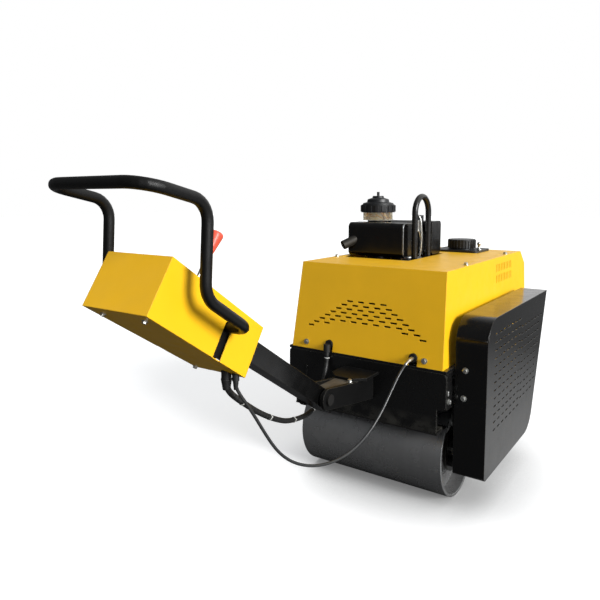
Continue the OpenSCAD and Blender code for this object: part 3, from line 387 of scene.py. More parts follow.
def make_finishes(c):
    """All finishes, each with the gloss, grain and dust of its piece."""
    # Satin yellow, a little duller where it is scuffed
    paint(
        "Yellow sprayed enamel", c.hood, c.dust,
        roughness=0.36, specular=0.25, peel=0.05, edge=0.1, dust=0.1,
    )
    # Black with a soft sheen, grey low over the drums with dust and a painted sheen
    paint(
        "Black chassis enamel", c.chassis, c.dust,
        roughness=0.24, specular=0.4, peel=0.05, edge=0.25, dust=0.2, low_dust_and_sheen=0.14,
    )
    # Dull black that hardly shines
    paint(
        "Matt bracket enamel", linear("#0F0F0F"), c.dust,
        roughness=0.4, specular=0.12, peel=0.1, edge=0.2, dust=0.015,
    )
    # Deep black that mirrors the floor and the hood
    paint(
        "Black gloss powder coat", c.guard, c.dust,
        roughness=0.14, specular=0.5, peel=0.006, edge=0.14, dust=0.02,
    )
    # Black with one soft streak of light along a tube; the wide fold smooths the tube's flats
    paint(
        "Black tube enamel", c.guard, c.dust,
        roughness=0.34, specular=0.26, peel=0.0, edge=0.0, dust=0.02, fold_mm=9,
    )
    # Black with a clear gloss and pale rubbed edges
    paint(
        "Heatproof black enamel", linear("#070707"), c.dust,
        roughness=0.16, specular=0.45, peel=0.05, edge=0.3, dust=0.06,
    )
    # Brown-grey and dull under its dust
    paint(
        "Dusty primer", linear("#4A4236"), c.dust,
        roughness=0.6, specular=0.3, peel=0.2, edge=0.2, dust=0.2,
    )
    drum_steel(c.drum)
    # Pale bright metal, slightly clouded
    metal("Zinc-plated steel", "#C9CAC6", metallic=1.0, roughness=0.34, grain_mm=3, depth=0.12)
    # A thin bright line of bare metal
    metal("Bright rolled edge", "#8E9192", metallic=1.0, roughness=0.3, grain_mm=5, depth=0.08)
    # Near black with a faint sheen of metal
    metal("Dark scraper steel", "#232221", metallic=0.5, roughness=0.5, grain_mm=12, depth=0.2)
    # Dark and rough, as it was poured
    metal("Cast iron", "#1E1E1D", metallic=0.3, roughness=0.62, grain_mm=4, depth=0.4)
    # Pale grey with a sandy grain
    metal("Cast aluminium", "#B7B8B6", metallic=0.9, roughness=0.45, grain_mm=2.5, depth=0.35)
    # Brown-black and dull with soot
    metal("Sooted steel", "#2E2C28", metallic=0.5, roughness=0.55, grain_mm=8, depth=0.3)
    # Blue-black with the grain of the mould
    moulded("Black moulded ABS", linear("#131517"), roughness=0.42, grain_mm=1.6, depth=0.25)
    # Soft black without shine
    moulded("Black rubber", linear("#101010"), roughness=0.6, grain_mm=2.2, depth=0.3)
    # Smooth red with a soft highlight
    moulded("Red moulded ABS", c.knob, roughness=0.34, grain_mm=1.8, depth=0.12)
    # Pale and chalky behind the clear bowl
    moulded("Cream filter paper", linear("#E9DDAE"), roughness=0.7, grain_mm=1.5, depth=0.3)
    # Warm yellow through the clear bowl
    moulded("Amber vane plastic", linear("#E2A91E"), roughness=0.35, grain_mm=2.0, depth=0.1)
    # Dark grey: the black sheath painted lighter as a painted sheen, with a long highlight
    moulded("Black cable sheath", linear("#2A2B2B"), roughness=0.3, grain_mm=2.0, depth=0.05)
    # Off-white and waxy
    moulded("White cable tie", linear("#C9C9C4"), roughness=0.4, grain_mm=2.0, depth=0.1)
    clear_plastic()
    wound_tape()


# Shapes

# A tube whose first step rises by more than this share of its length counts as upright
STEEP = 0.7


def new_piece(name, mesh, finish, body, smooth=True):
    """Links a mesh that is already in place, and sets what it rides on."""
    piece = bpy.data.objects.new(name, mesh)
    bpy.context.scene.collection.objects.link(piece)
    if finish:
        mesh.materials.clear()
        mesh.materials.append(bpy.data.materials[finish])
    for face in mesh.polygons:
        face.use_smooth = smooth
    if body:
        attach(piece, body)
    return piece


def mesh_of(name, bm):
    """A plain mesh of what was drawn, with its normals outward."""
    bmesh.ops.recalc_face_normals(bm, faces=bm.faces)
    mesh = bpy.data.meshes.new(name)
    bm.to_mesh(mesh)
    bm.free()
    return mesh


def curve(stops, steps=8):
    """Points on a cubic B-spline that starts and ends on its stops and rounds the bends between them."""
    ends = [2 * stops[0] - stops[1], *stops, 2 * stops[-1] - stops[-2]]
    points = []
    for p0, p1, p2, p3 in zip(ends, ends[1:], ends[2:], ends[3:]):
        for k in range(steps):
            t = k / steps
            early, late = p1 * (3 * t**3 - 6 * t**2 + 4), p2 * (-3 * t**3 + 3 * t**2 + 3 * t + 1)
            points.append((p0 * (1 - t) ** 3 + early + late + p3 * t**3) / 6)
    return points + [stops[-1]]


def path_length(points):
    return sum((b - a).length for a, b in zip(points, points[1:]))


def tube(name, points, radii, sides=20, closed=False):
    """A tube along points with a radius at each, and a UV map in metres along it and turns round it."""
    bm = bmesh.new()
    uv = bm.loops.layers.uv.new("along")
    rings, runs, axis = [], [], None
    count = len(points)
    for i, p in enumerate(points):
        ahead = points[(i + 1) % count if closed else min(i + 1, count - 1)]
        behind = points[i - 1 if closed else max(i - 1, 0)]
        d = (ahead - behind).normalized()
        if axis is None:
            axis = Vector((0, 1, 0)) if abs(d.z) > STEEP else Vector((0, 0, 1))
        axis = (axis - d * axis.dot(d)).normalized()
        side = d.cross(axis)
        runs.append(runs[-1] + (p - points[i - 1]).length if i else 0.0)
        turns = [math.tau * k / sides for k in range(sides)]
        rings.append([bm.verts.new(p + (axis * math.cos(a) + side * math.sin(a)) * radii[i]) for a in turns])
    for i in range(count if closed else count - 1):
        j = (i + 1) % count
        for k in range(sides):
            n = (k + 1) % sides
            face = bm.faces.new((rings[i][k], rings[i][n], rings[j][n], rings[j][k]))
            for loop, (ring, turn) in zip(face.loops, ((i, k), (i, k + 1), (j, k + 1), (j, k))):
                loop[uv].uv = (runs[ring], turn / sides)
    if not closed:
        bm.faces.new(list(reversed(rings[0])))
        bm.faces.new(rings[-1])
    return mesh_of(name, bm)


def turned(name, centre, profile, sides=64):
    """A closed turned shape about an upright axis; the profile runs from axis to axis in millimetres."""
    bm = bmesh.new()
    turns = [math.tau * k / sides for k in range(sides)]
    rings = []
    for r, z in profile:
        around = turns if r else [0]
        ring = [centre + Vector((r * math.cos(a), r * math.sin(a), z)) * MM for a in around]
        rings.append([bm.verts.new(p) for p in ring])
    for low, high in zip(rings, rings[1:]):
        for k in range(sides):
            n = (k + 1) % sides
            if len(low) == 1:
                bm.faces.new((low[0], high[n], high[k]))
            elif len(high) == 1:
                bm.faces.new((low[k], low[n], high[0]))
            else:
                bm.faces.new((low[k], low[n], high[n], high[k]))
    return mesh_of(name, bm)


def point_cloud(name, places):
    """A mesh of points that carry the way they face."""
    mesh = bpy.data.meshes.new(name)
    mesh.from_pydata([p for p, _ in places], [], [])
    facing = mesh.attributes.new("facing", "FLOAT_VECTOR", "POINT")
    facing.data.foreach_set("vector", [x for _, f in places for x in f])
    return mesh


def start_tree(name, numbers):
    """A node tree with named number inputs and a finish, its sockets and their identifiers."""
    tree = bpy.data.node_groups.new(name, "GeometryNodeTree")
    kinds = {"Geometry": "NodeSocketGeometry"}
    kinds.update({n: "NodeSocketFloat" for n in numbers})
    kinds["Finish"] = "NodeSocketMaterial"
    ids = {}
    for key, kind in kinds.items():
        ids[key] = tree.interface.new_socket(key, in_out="INPUT", socket_type=kind).identifier
    tree.interface.new_socket("Geometry", in_out="OUTPUT", socket_type="NodeSocketGeometry")
    return tree, add(tree, "NodeGroupInput").outputs, ids


def on_points(tree, given, shape):
    """Ends a tree: the shape on each point with its Z the way the point faces, as one plain mesh."""
    facing = add(
        tree, "GeometryNodeInputNamedAttribute", {"Name": "facing"}, data_type="FLOAT_VECTOR"
    ).outputs[0]
    turn = add(tree, "FunctionNodeAlignRotationToVector", {"Vector": facing}, axis="Z").outputs[0]
    copies = add(
        tree,
        "GeometryNodeInstanceOnPoints",
        {"Points": given["Geometry"], "Instance": shape, "Rotation": turn},
    ).outputs[0]
    real = add(tree, "GeometryNodeRealizeInstances", {"Geometry": copies}).outputs[0]
    done = add(tree, "GeometryNodeSetMaterial", {"Geometry": real, "Material": given["Finish"]}).outputs[0]
    add(tree, "NodeGroupOutput", {0: done})


# Shapes of fasteners: sides of a head and of a ring, and shares of a head's width
HEAD_SIDES, RING_SIDES = 6, 24
CROWN_SHARE, HEAD_TALL, WASHER_WIDE, WASHER_THICK = 0.82, 0.4, 1.3, 0.12
# A cable tie's band and lock in millimetres
BAND_THICK, LOCK_SIDE, TIE_PLAY = 1.4, 5, 0.5


def bolt_tree():
    """Hexagon heads with a chamfered top and a washer under each, standing on points."""
    sizes = ("Head Width", "Head Height", "Washer Width", "Washer Height")
    tree, given, ids = start_tree("Hexagon bolts", sizes)
    half = {}
    for key in sizes:
        half[key] = add(tree, "ShaderNodeMath", {0: given[key], 1: 0.5}, operation="MULTIPLY").outputs[0]
    crown = add(
        tree, "ShaderNodeMath", {0: half["Head Width"], 1: CROWN_SHARE}, operation="MULTIPLY"
    ).outputs[0]
    head_mid = add(
        tree, "ShaderNodeMath", {0: given["Washer Height"], 1: half["Head Height"]}, operation="ADD"
    ).outputs[0]
    head_top = add(
        tree, "ShaderNodeMath", {0: given["Washer Height"], 1: given["Head Height"]}, operation="ADD"
    ).outputs[0]
    washer = add(
        tree,
        "GeometryNodeMeshCylinder",
        {"Vertices": RING_SIDES, "Radius": half["Washer Width"], "Depth": given["Washer Height"]},
    ).outputs["Mesh"]
    head = add(
        tree,
        "GeometryNodeMeshCylinder",
        {"Vertices": HEAD_SIDES, "Radius": half["Head Width"], "Depth": given["Head Height"]},
    ).outputs["Mesh"]
    cap = add(
        tree,
        "GeometryNodeMeshCone",
        {
            "Vertices": HEAD_SIDES,
            "Radius Top": crown,
            "Radius Bottom": half["Head Width"],
            "Depth": half["Washer Height"],
        },
    ).outputs["Mesh"]
    whole = add(tree, "GeometryNodeJoinGeometry")
    for part, height in ((washer, half["Washer Height"]), (head, head_mid), (cap, head_top)):
        up = add(tree, "ShaderNodeCombineXYZ", {"Z": height}).outputs[0]
        moved = add(tree, "GeometryNodeTransform", {"Geometry": part, "Translation": up}).outputs[0]
        tree.links.new(moved, whole.inputs[0])
    on_points(tree, given, whole.outputs[0])
    return tree, ids


def band_tree():
    """Flat bands with a raised lock, closed round a cord at points that face along it."""
    tree, given, ids = start_tree("Cable ties", ("Radius", "Width"))
    ring = add(
        tree, "GeometryNodeCurvePrimitiveCircle", {"Resolution": RING_SIDES, "Radius": given["Radius"]}
    ).outputs[0]
    flat = add(
        tree, "GeometryNodeCurvePrimitiveQuadrilateral", {"Width": BAND_THICK * MM, "Height": given["Width"]}
    ).outputs[0]
    band = add(tree, "GeometryNodeCurveToMesh", {"Curve": ring, "Profile Curve": flat}).outputs[0]
    lock_size = add(
        tree, "ShaderNodeCombineXYZ", {"X": LOCK_SIDE * MM, "Y": LOCK_SIDE * MM, "Z": given["Width"]}
    ).outputs[0]
    lock = add(tree, "GeometryNodeMeshCube", {"Size": lock_size}).outputs["Mesh"]
    out = add(tree, "ShaderNodeCombineXYZ", {"X": given["Radius"]}).outputs[0]
    moved = add(tree, "GeometryNodeTransform", {"Geometry": lock, "Translation": out}).outputs[0]
    whole = add(tree, "GeometryNodeJoinGeometry")
    for part in (band, moved):
        tree.links.new(part, whole.inputs[0])
    on_points(tree, given, whole.outputs[0])
    return tree, ids


def vane_tree():
    """Upright vanes in a ring, turned out from its middle, as in a cyclone pre-cleaner."""
    tree, given, ids = start_tree("Vane ring", ("Width", "Thickness", "Height"))
    size = add(
        tree, "ShaderNodeCombineXYZ", {"X": given["Height"], "Y": given["Thickness"], "Z": given["Width"]}
    ).outputs[0]
    vane = add(tree, "GeometryNodeMeshCube", {"Size": size}).outputs["Mesh"]
    on_points(tree, given, vane)
    return tree, ids


def grown(name, places, tree_and_ids, values):
    """Runs a node tree on points and returns the plain mesh that it makes."""
    tree, ids = tree_and_ids
    holder = bpy.data.objects.new(name, point_cloud(name + "_points", places))
    bpy.context.scene.collection.objects.link(holder)
    grow = holder.modifiers.new("grow", "NODES")
    grow.node_group = tree
    for key, value in values.items():
        grow[ids[key]] = value
    graph = bpy.context.evaluated_depsgraph_get()
    made = bpy.data.meshes.new_from_object(holder.evaluated_get(graph), depsgraph=graph)
    bpy.data.objects.remove(holder)
    made.name = name
    return made


# Pieces


class ROLLER_OT_finishes(bpy.types.Operator):
    """Makes the finishes and gives each solid of the frame its own"""

    bl_idname = "roller.finishes"
    bl_label = "Finishes"

    def execute(self, context):
        make_finishes(context.scene.roller_colours)
        for finish, names in FINISH_NODES.items():
            for name in names.split():
                solid = frame["nodes"][name].data
                solid.materials.clear()
                solid.materials.append(bpy.data.materials[finish])
        return {"FINISHED"}


# Routes of the cords as in the part's source: the gland's X, the straight lead at both ends,
# the middle points and the end at the hood with the way it goes in
CABLE = {
    "x": 70,
    "lead": 24,
    "middle": (
        (82, -985, 600), (88, -955, 552), (94, -920, 495), (101, -878, 434), (110, -820, 384),
        (122, -746, 348), (134, -667, 329), (149, -576, 327), (164, -485, 358), (175, -419, 405),
        (184, -371, 458), (193, -326, 515), (200, -285, 552),
    ),
    "end": (205, -221.675, 569),
    "into": (0, 1, 0),
}
HARNESS = {
    "x": 38,
    "lead": 30,
    "middle": (
        (36, -982, 610), (28, -925, 570), (16, -865, 530), (4, -800, 492), (-15, -714, 448),
        (-32, -640, 418), (-58, -520, 390), (-84, -430, 376), (-106, -370, 384), (-124, -315, 408),
        (-137, -270, 440), (-144, -243, 478),
    ),
    "end": (-145, -234.175, 541),
    "into": (0, 0, 1),
}
BOX_FLOOR = -90
GLAND_ALONG, GLAND_DROP = 522, 16
TIE_SHARES = (0.112, 0.306, 0.514, 0.706, 0.872, 0.975)
# Radii as shares of a cord's diameter: a boot that narrows at each step, and the ends, neck and sleeve
# of a ferrule
BOOT_STEPS, BOOT_WIDE, BOOT_TAPER, BOOT_RIB = 10, 0.86, 0.029, 0.04
FERRULE_POINTS, FERRULE_NECK_POINTS = 15, 6
FERRULE_END, FERRULE_NECK, FERRULE_SLEEVE = 0.55, 0.62, 0.78


def route(cord):
    """A cord's stops: the lead straight down out of the gland, the middle, and the lead at the hood."""
    lead = cord["lead"] * MM
    start = on_arm(cord["x"], GLAND_ALONG, BOX_FLOOR) - Vector((0, 0, GLAND_DROP * MM))
    end = at(*cord["end"])
    middle = [at(*p) for p in cord["middle"]]
    return [start, start - Vector((0, 0, lead)), *middle, end - Vector(cord["into"]) * lead, end]


def lay_cord(name, cord, diameter, finish, node, with_pieces):
    """Draws a cord along its route, bakes its place into it and the pieces that go with it, and hides the
    node it stands for.
    """
    stops = route(cord)
    points = curve(stops)
    piece = new_piece(name, tube(name, points, [diameter / 2] * len(points)), finish, None)
    for bent in (piece, *with_pieces):
        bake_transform(bent)
    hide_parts(node)


def add_boot(name, cord, diameter):
    """A ribbed rubber boot that narrows onto a cord where it leaves its gland."""
    stops = route(cord)
    points = [stops[0].lerp(stops[1], k / BOOT_STEPS) for k in range(BOOT_STEPS + 1)]
    radii = []
    for k in range(BOOT_STEPS + 1):
        rib = BOOT_RIB if k % 2 else 0
        radii.append(diameter * (BOOT_WIDE - BOOT_TAPER * k + rib))
    new_piece(name, tube(name, points, radii), "Black rubber", "handle")


class ROLLER_OT_control_cable(bpy.types.Operator):
    """Lays the control cable with its boot and the steel ferrule at its hood end"""

    bl_idname = "roller.control_cable"
    bl_label = "Control cable"

    def execute(self, context):
        d = context.scene.roller_sizes.cable
        tail = curve(route(CABLE))[-FERRULE_POINTS:]
        shares = [FERRULE_NECK if k < FERRULE_NECK_POINTS else FERRULE_SLEEVE for k in range(FERRULE_POINTS)]
        shares[0] = shares[-1] = FERRULE_END
        mesh = tube("cable_ferrule", tail, [d * share for share in shares])
        sleeve = new_piece("cable_ferrule", mesh, "Zinc-plated steel", None)
        lay_cord(
            "control_cable_sheath", CABLE, d, "Black cable sheath", "control_cable", [sleeve]
        )
        add_boot("control_cable_boot", CABLE, d)
        return {"FINISHED"}


class ROLLER_OT_harness(bpy.types.Operator):
    """Lays the taped harness with its boot and cable ties"""

    bl_idname = "roller.harness"
    bl_label = "Wire harness"

    def execute(self, context):
        sizes = context.scene.roller_sizes
        points = curve(route(HARNESS))
        total = path_length(points)
        ties = []
        for share in TIE_SHARES:
            i = next(k for k in range(1, len(points)) if path_length(points[: k + 1]) >= share * total)
            ties.append((points[i], (points[i] - points[i - 1]).normalized()))
        values = {
            "Radius": sizes.harness / 2 + TIE_PLAY * MM,
            "Width": sizes.tie,
            "Finish": bpy.data.materials["White cable tie"],
        }
        mesh = grown("harness_ties", ties, band_tree(), values)
        bands = new_piece("harness_ties", mesh, None, None, smooth=False)
        lay_cord(
            "harness_tape", HARNESS, sizes.harness, "Wound loom tape", "wire_harness", [bands]
        )
        add_boot("harness_boot", HARNESS, sizes.harness)
        return {"FINISHED"}


# The hood's leaning rear panel, faces that carry bolts, and places of bolts on them
HOOD_FOOT, HOOD_TALL, HOOD_RUN = 540, 338, 56
REAR_LEAN = math.atan2(HOOD_RUN, HOOD_TALL)
RAIL_FACE, DRUM_AXIS_Z, WHEELBASE, BUFFER_REACH = 331, 177, 470, 52.7
GUARD_BACK, CHASSIS_FRONT = -168, 845
HOOD_TOP, FLANGE_TOP = 878, 888
REAR_PANEL_BOLTS = ((-250, 564), (248, 564))
GUARD_BOLTS = ((378, 540), (374, 440))
RAIL_BOLT = (-200, 428)
HOOD_TOP_BOLTS = ((-286, 71), (-286, 583), (286, 71), (286, 583))
FRONT_BOLTS = ((-270, 470), (-270, 570), (270, 470), (270, 570))
STOP_BOLT = (29, -359)
BUFFER_TURNS = (45, 135, 225, 315)
# Nuts under the control box: off its middle, and along the arm
BOX_NUTS = ((71, 870), (-71, 870), (-80, 514), (66, 514))


def on_rear_panel(x, z):
    """A place on the leaning rear panel of the hood."""
    return at(x, -REAR_OVERHANG + (z - HOOD_FOOT) * math.tan(REAR_LEAN), z)


def frame_bolts():
    """Bolts on the chassis, guard and hood: place and facing."""
    back, right, left = Vector((0, -1, 0)), Vector((1, 0, 0)), Vector((-1, 0, 0))
    front, up = Vector((0, 1, 0)), Vector((0, 0, 1))
    lean = Vector((0, -math.cos(REAR_LEAN), math.sin(REAR_LEAN)))
    bolts = [(on_rear_panel(x, z), lean) for x, z in REAR_PANEL_BOLTS]
    bolts += [(at(x, GUARD_BACK, z), back) for x, z in GUARD_BOLTS]
    bolts += [(at(RAIL_FACE, *RAIL_BOLT), right)]
    bolts += [(at(x, y, HOOD_TOP), up) for x, y in HOOD_TOP_BOLTS]
    bolts += [(at(x, CHASSIS_FRONT, z), front) for x, z in FRONT_BOLTS]
    bolts += [(at(*STOP_BOLT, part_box("hinge_stop")[1].z / MM), up)]
    for axle_y in (0, WHEELBASE):
        for turn in BUFFER_TURNS:
            y = axle_y + BUFFER_REACH * math.cos(math.radians(turn))
            z = DRUM_AXIS_Z + BUFFER_REACH * math.sin(math.radians(turn))
            bolts += [(at(-RAIL_FACE, y, z), left), (at(RAIL_FACE, y, z), right)]
    return bolts


def handle_nuts():
    """Nuts under the control box: place and facing."""
    down = Vector((0, -math.sin(ARM_PITCH), -math.cos(ARM_PITCH)))
    return [(on_arm(x, along, BOX_FLOOR), down) for x, along in BOX_NUTS]


class ROLLER_OT_fasteners(bpy.types.Operator):
    """Sets the hexagon bolts and nuts with their washers"""

    bl_idname = "roller.fasteners"
    bl_label = "Fasteners"

    def execute(self, context):
        sizes = context.scene.roller_sizes
        tree = bolt_tree()
        for name, places, body, width in (
            ("frame_bolts", frame_bolts(), "frame", sizes.bolt),
            ("box_nuts", handle_nuts(), "handle", sizes.nut),
        ):
            values = {
                "Head Width": width,
                "Head Height": width * HEAD_TALL,
                "Washer Width": width * WASHER_WIDE,
                "Washer Height": width * WASHER_THICK,
                "Finish": bpy.data.materials["Zinc-plated steel"],
            }
            new_piece(name, grown(name, places, tree, values), None, body, smooth=False)
        return {"FINISHED"}


# The pre-cleaner in millimetres, and shares of its bowl's radius
BOWL_WALL, VANE_THICK, VANE_GAP, VANES = 3, 4, 1, 12
CORE_FOOT, CORE_TOP, VANE_REACH, VANE_WIDE = 0.55, 0.5, 0.74, 0.34


class ROLLER_OT_cleaner(bpy.types.Operator):
    """Replaces the pre-cleaner's bowl by a clear shell with its vanes and core"""

    bl_idname = "roller.cleaner"
    bl_label = "Pre-cleaner bowl"

    def execute(self, context):
        low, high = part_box("cleaner_bowl")
        centre = Vector(((low.x + high.x) / 2, (low.y + high.y) / 2, low.z))
        r = (high.x - low.x) / 2 / MM
        h = (high.z - low.z) / MM
        wall = BOWL_WALL
        shell = [(0, 0), (r, 0), (r, h), (r - wall, h), (r - wall, wall), (0, wall)]
        mesh = turned("cleaner_bowl_shell", centre, shell)
        bowl = new_piece(
            "cleaner_bowl_shell", mesh, "Clear polycarbonate", "frame", smooth=False
        )
        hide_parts("cleaner_bowl")
        cone = [(0, wall), (r * CORE_FOOT, wall), (r * CORE_TOP, h), (0, h)]
        core = turned("cleaner_core", centre, cone)
        new_piece("cleaner_core", core, "Cream filter paper", "frame", smooth=False)
        places = []
        for k in range(VANES):
            turn = math.tau * k / VANES
            out = Vector((math.cos(turn), math.sin(turn), 0))
            places.append((centre + (out * r * VANE_REACH + Vector((0, 0, (h + wall) / 2))) * MM, out))
        values = {
            "Width": r * VANE_WIDE * MM,
            "Thickness": VANE_THICK * MM,
            "Height": (h - wall - VANE_GAP) * MM,
            "Finish": bpy.data.materials["Amber vane plastic"],
        }
        mesh = grown("cleaner_vanes", places, vane_tree(), values)
        new_piece("cleaner_vanes", mesh, None, "frame", smooth=False)
        return {"FINISHED"}


MUFFLER_END = {"x": -4, "y": (130, 245), "z": (880.5, 1026.5), "round": 17, "inset": 3}
CORNER_STEPS, TRIM_SIDES = 6, 16
# The injection pipe's union, in from the rocker cover's right side and down from its top,
# and the pipe's bends from there
PIPE_IN, PIPE_DOWN = 30, 2
PIPE_BENDS = (
    (0, 0, 0), (0, 0, 16), (9, 0, 27), (22, 2, 27), (34, 4, 16), (38, 8, -30), (38, 12, -110), (24, 10, -190),
)
ROD_STOPS = ((-12, 282, 996), (-1, 286, 992), (-1, 300, 965), (-6, 346, 880), (-14, 396, 788))


def muffler_loop():
    """The rounded outline of the muffler's right end, in from its edge."""
    (y0, y1), (z0, z1), r, inset = (MUFFLER_END[k] for k in ("y", "z", "round", "inset"))
    points = []
    for turn, y, z in ((0, y1, z1), (90, y0, z1), (180, y0, z0), (270, y1, z0)):
        middle_y = y + (r + inset) * (1 if y == y0 else -1)
        middle_z = z + (r + inset) * (1 if z == z0 else -1)
        for k in range(CORNER_STEPS + 1):
            a = math.radians(turn + 90 * k / CORNER_STEPS)
            points.append(at(MUFFLER_END["x"], middle_y + r * math.cos(a), middle_z + r * math.sin(a)))
    return points


class ROLLER_OT_engine_trim(bpy.types.Operator):
    """Adds the injection pipe, the throttle rod and the rolled bead of the muffler's end"""

    bl_idname = "roller.engine_trim"
    bl_label = "Engine trim"

    def execute(self, context):
        sizes = context.scene.roller_sizes
        low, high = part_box("rocker_cover")
        union = Vector((high.x - PIPE_IN * MM, (low.y + high.y) / 2, high.z - PIPE_DOWN * MM))
        pipe = curve([union + Vector(b) * MM for b in PIPE_BENDS])
        rod = curve([at(*stop) for stop in ROD_STOPS])
        bead = muffler_loop()
        for name, points, width, finish, slot, closed in (
            ("injection_pipe", pipe, sizes.pipe, "Zinc-plated steel", "bare_steel", False),
            ("throttle_rod", rod, sizes.rod, "Zinc-plated steel", "bare_steel", False),
            ("muffler_bead", bead, sizes.bead, "Bright rolled edge", "dark_steel", True),
        ):
            mesh = tube(name, points, [width / 2] * len(points), TRIM_SIDES, closed)
            new_piece(name, mesh, finish, "frame")
        return {"FINISHED"}


# The breather: its place on the flange, its stem as radius and height, and the ball on top
BREATHER_PLACE = (159, 609, FLANGE_TOP)
BREATHER_STEM = ((0, 0), (12, 0), (12, 4), (6, 6), (6, 22))
BALL_R, BALL_Z, BREATHER_SIDES = 9, 29, 32
# Straight trim: name, ends, width, finish and slot; its ends are narrowed
FOLD_Z, RAIL_PIN_X = 651, RAIL_FACE + 1
STRAIGHT_TRIM = (
    (
        "guard_fold", (345, GUARD_BACK, FOLD_Z), (451, GUARD_BACK, FOLD_Z), 4,
        "Black gloss powder coat", "gloss_black",
    ),
    ("rail_pin", (RAIL_PIN_X, -205, 450), (RAIL_PIN_X, -205, 468), 6, "Zinc-plated steel", "bare_steel"),
    ("apron_pin", (-246, -224, 428), (-246, -224, 472), 6, "Black chassis enamel", "black_paint"),
)
TRIM_STEPS, TRIM_END = 8, 0.6


class ROLLER_OT_chassis_trim(bpy.types.Operator):
    """Adds the breather on the hood, the fold on the guard and the pins of the rail and apron"""

    bl_idname = "roller.chassis_trim"
    bl_label = "Chassis trim"

    def execute(self, context):
        turns = [math.radians(a) for a in range(-45, 90, 15)]
        ball = [(BALL_R * math.cos(a), BALL_Z + BALL_R * math.sin(a)) for a in turns]
        profile = [*BREATHER_STEM, *ball, (0, BALL_Z + BALL_R)]
        breather = turned("hood_breather", at(*BREATHER_PLACE), profile, BREATHER_SIDES)
        new_piece("hood_breather", breather, "Zinc-plated steel", "frame")
        for name, start, stop, width, finish, slot in STRAIGHT_TRIM:
            points = [at(*start).lerp(at(*stop), k / TRIM_STEPS) for k in range(TRIM_STEPS + 1)]
            radii = [width / 2 * MM] * len(points)
            radii[0] = radii[-1] = width / 2 * MM * TRIM_END
            new_piece(name, tube(name, points, radii, TRIM_SIDES), finish, "frame")
        return {"FINISHED"}


def prism(bm, first, second):
    """A closed solid between two rings of points."""
    rings = [[bm.verts.new(p) for p in ring] for ring in (first, second)]
    bm.faces.new(rings[0])
    bm.faces.new(list(reversed(rings[1])))
    for k in range(len(first)):
        n = (k + 1) % len(first)
        bm.faces.new((rings[0][k], rings[1][k], rings[1][n], rings[0][n]))


# The control box: where it starts along the arm, its length, its half widths and its sheet
BOX_START, BOX_LENGTH, BOX_HALF_FRONT, BOX_HALF_REAR, BOX_SHEET = 504, 400, 89, 109, 2.5
# A plate behind a slot: its outline as places along and across the arm, and how deep its faces lie
SLOT_PLATE = ((585, -84), (697, -84), (697, 4), (685, 14), (597, 14), (585, 4))
PLATE_DEPTHS = (7, 10)
# A tongue in the base: its outline as places off the middle and along the arm
BASE_TONGUE = ((44.2, 625.2), (92.3, 625.2), (93.9, 656.8), (44.2, 656.8))


def box_half(along):
    """Half the control box's width, which grows to the rear."""
    return BOX_HALF_FRONT + (along - BOX_START) * (BOX_HALF_REAR - BOX_HALF_FRONT) / BOX_LENGTH


class ROLLER_OT_slot_plates(bpy.types.Operator):
    """Adds the black plates behind the control box's slots and the tongues that fill those of its base"""

    bl_idname = "roller.slot_plates"
    bl_label = "Slot plates"

    def execute(self, context):
        plates, tongues = bmesh.new(), bmesh.new()
        for side in (-1, 1):
            faces = [[on_arm(side * (box_half(a) - d), a, p) for a, p in SLOT_PLATE] for d in PLATE_DEPTHS]
            prism(plates, *faces)
            levels = (BOX_FLOOR, BOX_FLOOR + BOX_SHEET)
            prism(tongues, *[[on_arm(side * x, a, p) for x, a in BASE_TONGUE] for p in levels])
        black, yellow = mesh_of("slot_plates", plates), mesh_of("base_tongues", tongues)
        new_piece("slot_plates", black, "Matt bracket enamel", "handle", smooth=False)
        new_piece("base_tongues", yellow, "Yellow sprayed enamel", "handle", smooth=False)
        return {"FINISHED"}


# Stage

# The photograph's camera, in the machine's millimetres, degrees and pixels
CAMERA_PLACE = (1050.1, -2135.3, 1142.1)
CAMERA_TURN, CAMERA_DIP, CAMERA_ROLL = 35.596, 6.1047, -0.1868
FOCAL_PX, MIDDLE_PX, FRAME_PX = 591.92, (291.80, 259.21), 600
SUN_FROM = Vector((0.93, -0.14, 0.37))
SUN_LEVEL, SUN_SPREAD = 4.4, math.radians(24)
SKY_LEVEL, SKY_IN_GLOSS = 0.58, 0.14
# The white backdrop and the bright pool of the floor lie to the machine's right,
# so only that way do its glosses see white
BACKDROP = (0.8, 0.6, 0.0)
FLOOR_POOL = (1.0, 0.25, 0.0)
FLOOR_PATCH_MM, FLOOR_GLOW = 400, 0.44
# In metres: how far the camera sees, half the floor's side, and how close over the floor
# the machine has to be for the floor to get its painted shadow
VIEW_REACH, FLOOR_HALF, PAINTED_SHADOW_REACH = 100, 30, 0.4


def eye_and_side(tree, place, way, start, stop):
    """Sockets for a ray from a gloss, a ray from the eye, and how far over to one way a place lies."""
    ray = add(tree, "ShaderNodeLightPath").outputs
    eye = add(
        tree,
        "ShaderNodeMath",
        {0: ray["Is Camera Ray"], 1: ray["Is Transmission Ray"]},
        operation="MAXIMUM",
    ).outputs[0]
    over = add(tree, "ShaderNodeVectorMath", {0: place, 1: way}, operation="DOT_PRODUCT").outputs["Value"]
    side = add(
        tree, "ShaderNodeMapRange", {"Value": over, "From Min": start, "From Max": stop}
    ).outputs["Result"]
    return ray["Is Glossy Ray"], eye, side


